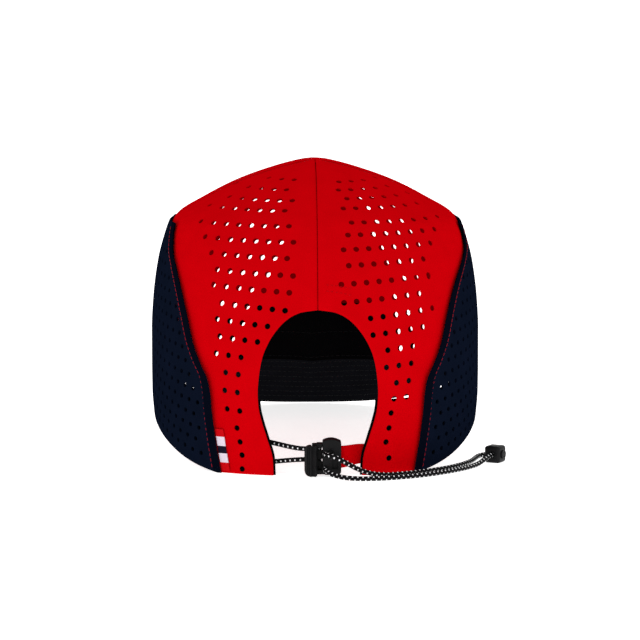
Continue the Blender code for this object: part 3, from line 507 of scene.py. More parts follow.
@dataclass
class SideMap(ClothMap):
    """A navy side panel: u back to front from the widest angle, v up the side."""

    side: Side
    columns: int = 160
    rows: int = 110
    share_steps: int = 200
    angle_span: tuple[float, float] = (28.0, 152.0)
    u_span: tuple[float, float] = (-90.0 * MM, 100.0 * MM)

    def __post_init__(self) -> None:
        """Measures the cloth level by level up the side."""
        self.top = CROWN.seam_top * CROWN.height
        self.shares = np.linspace(0.0, 1.0, self.share_steps)
        self.lengths = running_length(self.level(90.0, self.shares))
        self.total = float(self.lengths[-1])
        self.v_rows = np.linspace(0.0, self.total, self.rows)
        self.u_columns = np.linspace(*self.u_span, self.columns)
        angles = np.linspace(*self.angle_span, self.columns)
        table, starts, ends = [], [], []
        for share in np.interp(self.v_rows, self.lengths, self.shares):
            run = running_length(self.level(angles, share))
            run -= np.interp(90.0, angles, run)
            table.append(np.interp(self.u_columns, run, angles))
            z = share * self.top
            rear, front = (seam(z / CROWN.height) * CROWN.lapped_half_width
                           for seam in (CROWN.rear_seam, CROWN.front_seam))
            rear += CROWN.seam_bulge(self.side, z)
            starts.append(np.interp(CROWN.level_angle(rear, z, True, CROWN.lap_lift), angles, run))
            ends.append(np.interp(CROWN.level_angle(front, z, False, CROWN.lap_lift), angles, run))
        self.table, self.starts, self.ends = np.array(table), np.array(starts), np.array(ends)

    def level(self, angle: Array, share: Array) -> Array:
        """Points of the panel.

        Args:
            angle: plan angle, from the rear.
            share: 0 at the rim and 1 at the panel's top.

        Returns:
            The points.
        """
        turned = angle if self.side is Side.RIGHT else 360.0 - angle
        height = share * self.top + CROWN.rim_height(turned) * (1.0 - share)
        return CROWN.level_point(turned, height, CROWN.lap_lift)

    def points(self, u: Array, v: Array) -> Array:
        """Points of the panel's outer face."""
        return self.level(self.look_up(u, v), np.interp(v, self.lengths, self.shares))

    def start(self, v: Array) -> Array:
        """u of the rear edge."""
        return np.interp(v, self.v_rows, self.starts)

    def end(self, v: Array) -> Array:
        """u of the front edge."""
        return np.interp(v, self.v_rows, self.ends)


def closed_outline(left: Array, right: Array, foot_steps: int, top_steps: int) -> Array:
    """Closes the outline of a piece of flat cloth.

    Args:
        left: points up its left edge.
        right: points up its right edge.
        foot_steps: number of points along its foot, with both corners.
        top_steps: number of points along its top, with both corners.

    Returns:
        The outline.
    """
    foot = np.linspace(left[0], right[0], foot_steps)[1:-1]
    top = np.linspace(left[-1], right[-1], top_steps)[1:-1]
    return np.concatenate([foot, right, top[::-1], left[::-1]])


def inside(points: Array, outline: Array) -> Array:
    """Tells which points lie inside a closed outline.

    Args:
        points: flat points.
        outline: the outline's points.

    Returns:
        True for each point inside it.
    """
    x, y = points.T
    result = np.zeros(len(points), bool)
    for (x0, y0), (x1, y1) in zip(outline, np.roll(outline, -1, axis=0)):
        if y0 != y1:
            crosses = (y0 > y) != (y1 > y)
            result ^= crosses & (x < (x1 - x0) * (y - y0) / (y1 - y0) + x0)
    return result


def distance_to(points: Array, outline: Array) -> Array:
    """Shortest distance to a closed outline.

    Args:
        points: flat points.
        outline: the outline's points.

    Returns:
        The distance of each point.
    """
    best = np.full(len(points), np.inf)
    for a, b in zip(outline, np.roll(outline, -1, axis=0)):
        run = b - a
        size = float(run @ run)
        if size > 0.0:
            t = np.clip((points - a) @ run / size, 0.0, 1.0)
            best = np.minimum(best, np.linalg.norm(points - a - t[:, None] * run, axis=1))
    return best


@dataclass
class FlatCut:
    """A flat piece of cloth cut to its outline and pierced, as triangles."""

    places: Array
    triangles: list[list[int]]
    edge_distance: Array


@dataclass
class Cutter:
    """Cuts flat cloth to triangles: close rows of points along its edge, and even ones over the rest."""

    edge_depths: tuple[float, ...] = (0.35 * MM, 0.9 * MM, 1.9 * MM, 3.7 * MM, 4.5 * MM)
    depth_share: float = 0.97
    edge_margin: float = 5.6 * MM
    hole_margin: float = 0.45 * MM

    def free_points(self, outline: Array, holes: Sequence[Array], spacing: float) -> Array:
        """Points inside a piece of cloth.

        Args:
            outline: closed outline of the piece.
            holes: closed outlines of its holes.
            spacing: distance between the even points.

        Returns:
            The points, clear of the outline and the holes.
        """
        low, high = outline.min(axis=0), outline.max(axis=0)
        rows = []
        for k, row in enumerate(np.arange(low[1], high[1], spacing * math.sqrt(0.75))):
            across = np.arange(low[0] + 0.5 * spacing * (k % 2), high[0], spacing)
            rows.append(np.stack([across, np.full_like(across, row)], axis=1))
        even = np.concatenate(rows)
        even = even[inside(even, outline)]
        kept = [even[distance_to(even, outline) > self.edge_margin]]
        ahead = np.roll(outline, -1, axis=0) - np.roll(outline, 1, axis=0)
        normal = np.stack([-ahead[:, 1], ahead[:, 0]], axis=1)
        normal /= np.maximum(np.linalg.norm(normal, axis=1, keepdims=True), TINY)
        for depth in self.edge_depths:
            for moved in (outline + depth * normal, outline - depth * normal):
                clear = distance_to(moved, outline) > self.depth_share * depth
                kept.append(moved[inside(moved, outline) & clear])
        points = np.concatenate(kept)
        centres = np.array([hole.mean(axis=0) for hole in holes])
        sizes = [np.linalg.norm(hole - centre, axis=1).max() for hole, centre in zip(holes, centres)]
        near = np.linalg.norm(points[:, None, :] - centres, axis=2) - sizes
        return points[near.min(axis=1) > self.hole_margin]

    def cut(self, outline: Array, holes: Sequence[Array], spacing: float) -> FlatCut:
        """Cuts and pierces a piece of cloth.

        Args:
            outline: closed outline of the piece.
            holes: closed outlines of its holes.
            spacing: distance between the even points.

        Returns:
            The pierced piece.
        """
        points = self.free_points(outline, holes, spacing)
        verts, edges, owner = [], [], []
        for number, loop in enumerate([outline, *holes]):
            first = len(verts)
            verts += loop.tolist()
            owner += [number] * len(loop)
            edges += [(first + k, first + (k + 1) % len(loop)) for k in range(len(loop))]
        verts += points.tolist()
        owner += [-1] * len(points)
        scaled = [Vector((x / MM, y / MM)) for x, y in verts]
        places, _, faces, origins, _, _ = delaunay_2d_cdt(scaled, edges, [], 1, 1e-4)
        loops = [owner[source[0]] if source else -1 for source in origins]
        kept = [list(face) for face in faces if loops[face[0]] <= 0 or len({loops[i] for i in face}) > 1]
        flat = np.array([[place.x * MM, place.y * MM] for place in places])
        return FlatCut(flat, kept, distance_to(flat, outline))


def fold(distance: Array, depth: float, width: float) -> Array:
    """Drop of cloth that turns under near an edge: its depth at the edge and its width."""
    return -depth * np.clip(1.0 - distance / width, 0.0, 1.0) ** 2


def ripple(u: Array, v: Array, height: float, across: float, up: float, phase: float = 0.0) -> Array:
    """Slight waves of worn cloth: their height, and the lengths that set their size across and up."""
    return height * np.sin(u / across + phase) * np.sin(v / up)


def srgb(code: str) -> tuple[float, float, float, float]:
    """Linear colour of a hex code such as "CC0008"."""
    channels = [int(code[i:i + 2], 16) / 255.0 for i in (0, 2, 4)]
    return (*(c / 12.92 if c <= 0.04045 else ((c + 0.055) / 1.055) ** 2.4 for c in channels), 1.0)


def set_inputs(material: Material, node: bpy.types.Node, inputs: dict) -> None:
    """Fills a node's inputs.

    Args:
        material: the node's material.
        node: the node.
        inputs: socket name or index to a value, or to a socket to link from.
    """
    for socket, value in inputs.items():
        if isinstance(value, Socket):
            material.node_tree.links.new(value, node.inputs[socket])
        else:
            node.inputs[socket].default_value = value


def add_node(material: Material, kind: str, inputs: dict, out: str | int = 0, **settings: str) -> Socket:
    """Adds a shader node to a material.

    Args:
        material: the material that gets it.
        kind: the node's type, without the words ShaderNode.
        inputs: socket name or index to a value, or to a socket to link from.
        out: name or index of the wanted output.
        **settings: properties of the node.

    Returns:
        That output.
    """
    node = material.node_tree.nodes.new(f"ShaderNode{kind}")
    for name, value in settings.items():
        setattr(node, name, value)
    set_inputs(material, node, inputs)
    return node.outputs[out]


def new_material(name: str, roughness: float, specular: float) -> Material:
    """A Principled material with an even roughness and specular level."""
    material = bpy.data.materials.new(name)
    material.use_nodes = True
    return shade(material, {"Roughness": roughness, "Specular IOR Level": specular})


def shade(material: Material, inputs: dict) -> Material:
    """Fills inputs of the material's shader and returns the material."""
    set_inputs(material, material.node_tree.nodes["Principled BSDF"], inputs)
    return material


def uv_place(material: Material, layer: str) -> Socket:
    """The piece's own UV."""
    return add_node(material, "UVMap", {}, uv_map=layer)


def object_place(material: Material) -> Socket:
    """The piece's Object coordinates, in metres."""
    return add_node(material, "TexCoord", {}, "Object")


def split(material: Material, place: Socket, axis: str) -> Socket:
    """One coordinate of a place."""
    return add_node(material, "SeparateXYZ", {0: place}, axis)


def noise(material: Material, place: Socket, scale: float, detail: float) -> Socket:
    """Noise of so many cells to each unit of the place."""
    return add_node(material, "TexNoise", {"Vector": place, "Scale": scale, "Detail": detail}, "Fac")


def waves(material: Material, place: Socket, scale: float, axis: str) -> Socket:
    """Straight even waves along an axis."""
    return add_node(material, "TexWave", {"Vector": place, "Scale": scale}, "Fac", wave_type="BANDS",
                    bands_direction=axis)


def maths(material: Material, operation: str, *values: Socket | float) -> Socket:
    """A sum, product or the like of up to two values."""
    return add_node(material, "Math", dict(enumerate(values)), operation=operation)


def remap(material: Material, value: Socket, low: float, high: float, start: float = 0.0,
          end: float = 1.0) -> Socket:
    """Stretches a value that runs from low to high so that it runs from start to end."""
    return add_node(material, "MapRange", {"Value": value, "From Min": low, "From Max": high, "To Min": start,
                                           "To Max": end})


def mix(material: Material, share: Socket | float, first: Socket | str, second: Socket | str,
        blend: str = "MIX") -> Socket:
    """Mixes two colours."""
    first, second = (srgb(colour) if isinstance(colour, str) else colour for colour in (first, second))
    return add_node(material, "MixRGB", {0: share, 1: first, 2: second}, blend_type=blend)


def relief(material: Material, height: Socket, strength: float, depth_mm: float, **under: Socket) -> Socket:
    """Fine relief from a height; Normal may name a coarser one under it."""
    return add_node(material, "Bump", {"Height": height, "Strength": strength, "Distance": depth_mm * MM,
                                       **under})


@dataclass(frozen=True)
class WovenCloth:
    """Plain-woven polyester, laid out by the piece's own cloth lengths in tens of millimetres."""

    name: str
    colour: str
    shadow: str
    thread_mm: float
    thread_relief: float
    # Colour of painted shade on the band along the seams, which is the same cloth folded double
    band: str = ""
    band_mm: float = 4.5
    band_blur_mm: float = 0.15
    fibre_share: float = 0.12
    crumple: float = 0.10

    def make(self) -> Material:
        """Woven polyester: two crossed sets of threads, slight crumple, slight colour drift and, where a band
        colour is given, a seam band painted darker as shade.

        Returns:
            The material.
        """
        material = new_material(self.name, roughness=0.9, specular=0.0)
        uv = uv_place(material, "cloth")
        threads = [waves(material, uv, 5.0 / self.thread_mm, axis) for axis in "XY"]
        weave = maths(material, "MULTIPLY", *threads)
        drift, fibre = noise(material, uv, 0.9, 3.0), noise(material, uv, 14.0, 4.0)
        tone = mix(material, drift, self.shadow, self.colour)
        tone = mix(material, self.fibre_share, tone, fibre, "SOFT_LIGHT")
        # Painted shade: the seam band, the same cloth folded double, is painted darker because no light comes
        # through it
        if self.band:
            inset = split(material, uv_place(material, "seam"), "X")
            low, high = self.band_mm - self.band_blur_mm, self.band_mm + self.band_blur_mm
            painted_shade_share = remap(material, inset, low, high)
            tone = mix(material, painted_shade_share, self.band, tone)
        crumple = relief(material, drift, self.crumple, 0.6)
        bump = relief(material, weave, self.thread_relief, 0.08, Normal=crumple)
        return shade(material, {"Base Color": tone, "Normal": bump})


@dataclass(frozen=True)
class BraidedElastic:
    """Round braided elastic cord with light tracer threads, laid out by the cord's own UV."""

    name: str = "braided_elastic_black_white"
    colour: str = "08080A"
    tracer: str = "E8E8EA"
    pitch_mm: float = 2.6
    tracer_inner: float = 0.19
    tracer_outer: float = 0.25

    def make(self) -> Material:
        """Braided polyester over rubber: U runs once round, V is the length in tens of millimetres.

        Returns:
            The material.
        """
        material = new_material(self.name, roughness=0.6, specular=0.06)
        uv = uv_place(material, "cord")
        around = maths(material, "MULTIPLY", split(material, uv, "X"), 2.0)
        along = maths(material, "MULTIPLY", split(material, uv, "Y"), 10.0 / self.pitch_mm)
        cells = []
        for lean in ("ADD", "SUBTRACT"):
            slant = maths(material, "FRACT", maths(material, lean, around, along))
            cells.append(maths(material, "ABSOLUTE", maths(material, "SUBTRACT", slant, 0.5)))
        crossing = maths(material, "ADD", *cells)
        light = remap(material, crossing, self.tracer_inner, self.tracer_outer, 1.0, 0.0)
        return shade(material, {"Base Color": mix(material, light, self.colour, self.tracer)})


@dataclass(frozen=True)
class MouldedPlastic:
    """Injection-moulded acetal with a fine spark-eroded face."""

    name: str = "moulded_acetal_black"
    colour: str = "0D0D0F"
    roughness: float = 0.42
    shadow: str = "070708"
    polish: float = 0.06
    wear: float = 0.10

    def make(self) -> Material:
        """Moulded acetal: fine even grain and faint handling marks in the gloss.

        Returns:
            The material.
        """
        material = new_material(self.name, self.roughness, specular=0.12)
        place = object_place(material)
        grain, marks = noise(material, place, 4000.0, 2.0), noise(material, place, 260.0, 4.0)
        gloss = remap(material, marks, 0.0, 1.0, self.roughness - self.polish, self.roughness + self.wear)
        tone = mix(material, marks, self.shadow, self.colour)
        return shade(material, {"Roughness": gloss, "Base Color": tone,
                                "Normal": relief(material, grain, 0.12, 0.03)})


@dataclass(frozen=True)
class SewingThread:
    """Twisted polyester sewing thread."""

    name: str
    colour: str
    darkest: float = 0.75
    lightest: float = 1.2

    def make(self) -> Material:
        """Polyester thread: its fine twist darkens and lightens the colour.

        Returns:
            The material.
        """
        material = new_material(self.name, roughness=0.7, specular=0.05)
        twist = noise(material, object_place(material), 2500.0, 2.0)
        value = remap(material, twist, 0.0, 1.0, self.darkest, self.lightest)
        tone = add_node(material, "HueSaturation", {"Color": srgb(self.colour), "Value": value})
        return shade(material, {"Base Color": tone})


@dataclass(frozen=True)
class StripedRibbon:
    """Narrow woven ribbon with crosswise stripes, laid out by the ribbon's own UV."""

    name: str = "woven_ribbon_striped"
    length_mm: float = 21.0
    stripes: tuple[tuple[float, str], ...] = (
        (0.0, "B40009"), (0.20, "CFC5D2"), (0.425, "0E0A1C"), (0.605, "CFC5D2"), (0.83, "B40009"))

    def make(self) -> Material:
        """Woven ribbon: five plain stripes across its length and a fine rib.

        Returns:
            The material.
        """
        material = new_material(self.name, roughness=0.7, specular=0.05)
        uv = uv_place(material, "cloth")
        share = maths(material, "MULTIPLY", split(material, uv, "Y"), 10.0 / self.length_mm)
        tone = add_node(material, "ValToRGB", {0: share})
        ramp = tone.node.color_ramp
        ramp.interpolation = "CONSTANT"
        while len(ramp.elements) < len(self.stripes):
            ramp.elements.new(0.5)
        for element, (place, colour) in zip(ramp.elements, self.stripes):
            element.position, element.color = place, srgb(colour)
        rib = relief(material, waves(material, uv, 12.0, "Y"), 0.3, 0.05)
        return shade(material, {"Base Color": tone, "Normal": rib})


@dataclass(frozen=True)
class PaintedGlowLining:
    """Inner face of the front panel: black knitted lining below, the red cloth's own back above, which glows
    with painted light.
    """

    name: str = "front_panel_back_painted_glow"
    lining: str = "060607"
    colour: str = "6C0004"
    edge_mm: float = 61.0
    blur_mm: float = 1.0
    # Strength of the painted glow above the lining's edge
    glow: float = 0.45

    def make(self) -> Material:
        """Red cloth with a painted glow that stands in for daylight seeping through it, over a black lining
        without the glow.

        Returns:
            The material.
        """
        material = new_material(self.name, roughness=0.95, specular=0.0)
        height = split(material, object_place(material), "Z")
        low, high = (self.edge_mm - self.blur_mm) * MM, (self.edge_mm + self.blur_mm) * MM
        above = remap(material, height, low, high)
        tone = mix(material, above, self.lining, self.colour)
        # Painted light: above the lining's edge the red glows, though it is no lamp, in place of daylight
        # through the cloth
        return shade(material, {"Base Color": tone, "Emission Color": tone,
                                "Emission Strength": maths(material, "MULTIPLY", above, self.glow)})


@dataclass(frozen=True)
class PaleFloor:
    """Matt pale studio floor that gives off a little of its own light."""

    name: str = "studio_floor_white"
    glow: float = 0.8

    def make(self) -> Material:
        """White painted floor with the faintest unevenness."""
        material = new_material(self.name, roughness=0.9, specular=0.1)
        tone = mix(material, noise(material, object_place(material), 3.0, 2.0), "F8F8F8", "FDFDFD")
        return shade(material, {"Base Color": tone, "Emission Color": srgb("FFFFFF"),
                                "Emission Strength": self.glow})


class Finishes:
    """The cap's materials, one of each."""

    def __init__(self) -> None:
        """Makes them all."""
        self.red = WovenCloth("woven_polyester_red", "BC0008", "AE0006", 0.45, 0.25).make()
        # The navy's band colour is painted shade on its folded seam band
        self.navy = WovenCloth("woven_polyester_navy", "0B1120", "070C17", 0.45, 0.35, band="050812").make()
        # Inner face of the front panel, glowing with painted light above its black lining
        self.lining = PaintedGlowLining().make()
        self.black = WovenCloth("brushed_polyester_black", "0A0A0C", "050506", 0.6, 0.5).make()
        self.visor_cloth = WovenCloth("twill_visor_black", "101014", "09090B", 0.7, 0.6).make()
        self.coated_black = MouldedPlastic("coated_cloth_black", "0A0A0C", 0.85).make()
        self.plastic = MouldedPlastic().make()
        self.elastic = BraidedElastic().make()
        self.ribbon = StripedRibbon().make()
        self.red_thread = SewingThread("polyester_thread_red", "A80008").make()
        self.dark_red_thread = SewingThread("polyester_thread_dark_red", "90101C").make()
        self.black_thread = SewingThread("polyester_thread_black", "141416").make()


def select_only(piece: Piece) -> None:
    """Makes a piece the active one and the only one selected."""
    bpy.ops.object.select_all(action="DESELECT")
    bpy.context.view_layer.objects.active = piece
    piece.select_set(True)


def edit_whole(piece: Piece, step: Callable, **settings: object) -> None:
    """Runs an edit step on the whole of a piece's mesh.

    Args:
        piece: the piece.
        step: the edit step's operator.
        **settings: its settings.
    """
    select_only(piece)
    bpy.ops.object.mode_set(mode="EDIT")
    bpy.ops.mesh.select_all(action="SELECT")
    step(**settings)
    bpy.ops.object.mode_set(mode="OBJECT")


def make_consistent(piece: Piece) -> None:
    """Turns a closed piece's faces outwards."""
    edit_whole(piece, bpy.ops.mesh.normals_make_consistent, inside=False)


def apply_modifier(piece: Piece, kind: str, **settings: object) -> None:
    """Puts a modifier with the given settings on a piece and makes it part of its mesh.

    Args:
        piece: the piece.
        kind: the modifier's type.
        **settings: its settings.
    """
    modifier = piece.modifiers.new(kind, kind)
    for name, value in settings.items():
        setattr(modifier, name, value)
    select_only(piece)
    bpy.ops.object.modifier_apply(modifier=modifier.name)


def linked(name: str, data: bpy.types.ID) -> Piece:
    """A new object in the scene."""
    piece = bpy.data.objects.new(name, data)
    bpy.context.scene.collection.objects.link(piece)
    return piece


def add_layer(mesh: bpy.types.Mesh, name: str, values: Array) -> None:
    """Adds a UV layer from a pair of numbers for each point."""
    store = mesh.uv_layers.new(name=name)
    corners = np.empty(len(mesh.loops), np.int32)
    mesh.loops.foreach_get("vertex_index", corners)
    store.data.foreach_set("uv", values[corners].ravel().astype(np.float32))


def mesh_object(name: str, places: Array, faces: Sequence[Sequence[int]], material: Material,
                uvs: Array | None = None, smooth_angle: float = SMOOTH_ANGLE) -> Piece:
    """A mesh object at the origin.

    Args:
        name: the object's name.
        places: its points.
        faces: its faces, as point numbers.
        material: its only material.
        uvs: a flat place for each point, in metres; the layer holds them in tens of millimetres.
        smooth_angle: edges sharper than this many degrees stay sharp.

    Returns:
        The object.
    """
    mesh = bpy.data.meshes.new(name)
    mesh.from_pydata([tuple(p) for p in places], [], [tuple(f) for f in faces])
    if uvs is not None:
        add_layer(mesh, "cloth", np.asarray(uvs) / (10 * MM))
    mesh.materials.append(material)
    mesh.shade_smooth()
    mesh.set_sharp_from_angle(angle=math.radians(smooth_angle))
    return linked(name, mesh)


def thicken(piece: Piece, thickness: float, offset: float = -1.0, lining: Material | None = None) -> None:
    """Gives an open surface a wall.

    Args:
        piece: the surface, with its faces outwards.
        thickness: the wall's thickness.
        offset: -1 grows inwards and 0 both ways.
        lining: material of the inner face, where it isn't the piece's own.
    """
    if lining is not None:
        piece.data.materials.append(lining)
    apply_modifier(piece, "SOLIDIFY", thickness=thickness, offset=offset,
                   material_offset=0 if lining is None else 1)
    piece.data.set_sharp_from_angle(angle=math.radians(SMOOTH_ANGLE))


def face_outwards(places: Array, faces: list[list[int]]) -> list[list[int]]:
    """Turns faces so that most point away from the middle of the head.

    Args:
        places: the points.
        faces: the faces, as point numbers.

    Returns:
        The faces, all turned or none.
    """
    a, b, c = (places[[face[k] for face in faces]] for k in range(3))
    facing = np.sum(np.cross(b - a, c - a) * (a - CROWN.middle))
    return faces if facing > 0 else [face[::-1] for face in faces]


def sheet_object(name: str, rows: Array, material: Material, thickness: float, offset: float = -1.0) -> Piece:
    """A walled sheet through equal rows of points, with its cloth lengths as its UV.

    Args:
        name: the object's name.
        rows: points, rows by columns.
        material: its material.
        thickness: the wall's thickness.
        offset: -1 grows the wall inwards and 0 both ways.

    Returns:
        The object.
    """
    count, width = rows.shape[:2]
    across = np.stack([running_length(row) for row in rows])
    up = np.tile(running_length(rows[:, width // 2])[:, None], (1, width))
    faces = [[i * width + j, i * width + j + 1, (i + 1) * width + j + 1, (i + 1) * width + j]
             for i in range(count - 1) for j in range(width - 1)]
    places = rows.reshape(-1, 3)
    uvs = np.stack([across.ravel(), up.ravel()], axis=1)
    piece = mesh_object(name, places, face_outwards(places, faces), material, uvs)
    thicken(piece, thickness, offset)
    return piece


def tube_faces(rings: int, sides: int, first: int = 0) -> list[tuple[int, ...]]:
    """Faces of a closed tube.

    Args:
        rings: number of rings of points along it.
        sides: number of points in each ring.
        first: number of its first point.

    Returns:
        The faces along it and then its two ends.
    """
    faces = [(i + j, i + (j + 1) % sides, i + sides + (j + 1) % sides, i + sides + j)
             for i in range(first, first + (rings - 1) * sides, sides) for j in range(sides)]
    last = first + (rings - 1) * sides
    return [*faces, tuple(reversed(range(first, first + sides))), tuple(range(last, last + sides))]


def settle(piece: Piece, slot: str, *nodes: str, body: str = "cap") -> Piece:
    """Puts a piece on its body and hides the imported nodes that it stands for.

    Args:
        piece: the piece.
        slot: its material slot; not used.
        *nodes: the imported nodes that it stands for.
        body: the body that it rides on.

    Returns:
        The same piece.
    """
    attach(piece, body)
    if nodes:
        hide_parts(*nodes)
    return piece


def box(left: float, right: float, low: float, high: float) -> list[tuple[float, float]]:
    """Outline of a rectangle."""
    return [(left, low), (right, low), (right, high), (left, high)]


def arc(centre: Point, radius: float, start: float, sweep: float = 90.0,
        steps: int = 9) -> list[tuple[float, float]]:
    """Points along an arc that starts at an angle in degrees."""
    turns = np.radians(start + np.linspace(0.0, sweep, steps))
    return [(centre[0] + radius * math.cos(turn), centre[1] + radius * math.sin(turn)) for turn in turns]


def prism(name: str, outline: Sequence[Point], low: float, high: float, axis: str = "Z") -> Piece:
    """A solid extruded from an outline.

    Args:
        name: the object's name.
        outline: (x, y) points, or (x, z) points for axis Y.
        low: where the extrusion starts along the axis.
        high: where it ends.
        axis: Z or Y.

    Returns:
        The object.
    """
    bpy.ops.mesh.primitive_circle_add(vertices=len(outline), radius=1.0, fill_type="NGON")
    piece = bpy.context.active_object
    piece.name = name
    for vertex, (x, other) in zip(piece.data.vertices, outline):
        vertex.co = (x, other, low) if axis == "Z" else (x, low, other)
    travel = (0.0, 0.0, high - low) if axis == "Z" else (0.0, high - low, 0.0)
    edit_whole(piece, bpy.ops.mesh.extrude_region_move, TRANSFORM_OT_translate={"value": travel})
    make_consistent(piece)
    return piece


TURNS = {"X": (0.0, math.pi / 2, 0.0), "Y": (math.pi / 2, 0.0, 0.0), "Z": (0.0, 0.0, 0.0)}


def rod_tool(radius: float, place: Point, axis: str, length: float) -> Piece:
    """A round bar about a place, along an axis."""
    bpy.ops.mesh.primitive_cylinder_add(vertices=40, radius=radius, depth=length, location=place,
                                        rotation=TURNS[axis])
    return bpy.context.active_object


def ring_tool(radius: float, thickness: float, place: Point, axis: str) -> Piece:
    """A ring of round section about a place, around an axis."""
    bpy.ops.mesh.primitive_torus_add(major_radius=radius, minor_radius=thickness, major_segments=40,
                                     minor_segments=14, location=place, rotation=TURNS[axis])
    return bpy.context.active_object


@dataclass
class Moulding:
    """A piece that starts as one solid and is worked with rounding and with solid tools."""

    piece: Piece
    shade_angle: float = 35.0

    def round_edges(self, width: float, segments: int) -> None:
        """Rounds every sharp edge."""
        apply_modifier(self.piece, "BEVEL", width=width, segments=segments, limit_method="ANGLE",
                       angle_limit=math.radians(SMOOTH_ANGLE))

    def combine(self, operation: str, *tools: Piece) -> None:
        """Joins, cuts or trims the piece by tools one after another, which are used up."""
        for tool in tools:
            apply_modifier(self.piece, "BOOLEAN", operation=operation, solver="EXACT", object=tool)
            bpy.data.objects.remove(tool, do_unlink=True)

    def finish(self, material: Material, slot: str, node: str, body: str = "cap") -> Piece:
        """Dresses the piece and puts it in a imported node's place.

        Args:
            material: its material.
            slot: its material slot.
            node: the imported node.
            body: the body that it rides on.

        Returns:
            The finished piece.
        """
        select_only(self.piece)
        bpy.ops.object.transform_apply(location=True, rotation=True, scale=True)
        bpy.ops.object.shade_smooth_by_angle(angle=math.radians(self.shade_angle))
        self.piece.data.materials.clear()
        self.piece.data.materials.append(material)
        return settle(self.piece, slot, node, body=body)


def blend(first: Vector, second: Vector, start: float, end: float, at: float) -> Vector:
    """Point at a place between two points that belong to a start and an end."""
    return first * ((end - at) / (end - start)) + second * ((at - start) / (end - start))


def smooth_route(route: Sequence[Point], step: float) -> Array:
    """Evenly spaced points on a centripetal curve through a route.

    Args:
        route: the points that it passes through.
        step: distance between the new points.

    Returns:
        The new points.
    """
    points = [Vector(p) for p in route]
    points = [2 * points[0] - points[1], *points, 2 * points[-1] - points[-2]]
    fine = []
    for p0, p1, p2, p3 in zip(points, points[1:], points[2:], points[3:]):
        k1 = math.sqrt((p1 - p0).length)
        k2 = k1 + math.sqrt((p2 - p1).length)
        k3 = k2 + math.sqrt((p3 - p2).length)
        for k in k1 + np.linspace(0.0, 1.0, 24, endpoint=False) * (k2 - k1):
            middle = blend(p1, p2, k1, k2, k)
            before = blend(blend(p0, p1, 0.0, k1, k), middle, 0.0, k2, k)
            after = blend(middle, blend(p2, p3, k2, k3, k), k1, k3, k)
            fine.append(blend(before, after, k1, k2, k))
    fine = np.array([tuple(p) for p in (*fine, points[-2])])
    lengths = running_length(fine)
    places = np.linspace(0.0, lengths[-1], max(2, int(round(lengths[-1] / step)) + 1))
    return np.stack([np.interp(places, lengths, fine[:, k]) for k in range(3)], axis=1)


def frames_along(path: Array) -> tuple[Array, Array]:
    """Two crosswise directions along a path, turning as little as they can.

    Args:
        path: the path's points.

    Returns:
        Both directions at each point.
    """
    heading = np.gradient(path, axis=0)
    heading /= np.linalg.norm(heading, axis=1, keepdims=True)
    across = np.cross(heading[0], (0.0, 0.0, 1.0))
    rights = []
    for ahead in heading:
        across = across - ahead * float(across @ ahead)
        across = across / np.linalg.norm(across)
        rights.append(across)
    return np.array(rights), np.cross(rights, heading)


@dataclass
class BraidedCord:
    """A round braided cord along a route, with the braid's relief in its mesh."""

    name: str
    route: Sequence[Point]
    finish: Material
    diameter: float = 2.5 * MM
    sides: int = 20
    step: float = 0.42 * MM
    relief: float = 0.07 * MM
    strands: int = 4
    braid_length: float = 5.2 * MM
    end_u: float = 0.125

    def __post_init__(self) -> None:
        """Builds the cord."""
        self.path = smooth_route(self.route, self.step)
        self.lengths = running_length(self.path)
        right, up = frames_along(self.path)
        turn = np.linspace(0.0, 2 * math.pi, self.sides, endpoint=False)
        along = self.lengths[:, None] / self.braid_length * 2 * math.pi
        braid = np.sin(self.strands * turn + along) * np.sin(self.strands * turn - along)
        radius = self.diameter / 2 - self.relief * (0.5 - 0.5 * braid)
        rings = self.path[:, None, :] + radius[..., None] * (
            right[:, None, :] * np.cos(turn)[:, None] + up[:, None, :] * np.sin(turn)[:, None])
        mesh = bpy.data.meshes.new(self.name)
        mesh.from_pydata([tuple(p) for p in rings.reshape(-1, 3)], [], tube_faces(len(rings), self.sides))
        uvs = []
        for low, high in zip(self.lengths / (10 * MM), self.lengths[1:] / (10 * MM)):
            for j in range(self.sides):
                uvs += box(j / self.sides, (j + 1) / self.sides, low, high)
        uvs += [(self.end_u, 0.0)] * (2 * self.sides)
        layer = mesh.uv_layers.new(name="cord")
        layer.data.foreach_set("uv", np.array(uvs, np.float32).ravel())
        mesh.materials.append(self.finish)
        mesh.shade_smooth()
        self.piece = linked(self.name, mesh)


@dataclass(frozen=True)
class Stitch:
    """A kind of stitch: distance to the next one, bare cloth between the two, and the thread's radius."""

    pitch: float
    gap: float
    radius: float


RED_SEAM_STITCH = Stitch(2.2 * MM, 0.8 * MM, 0.13 * MM)


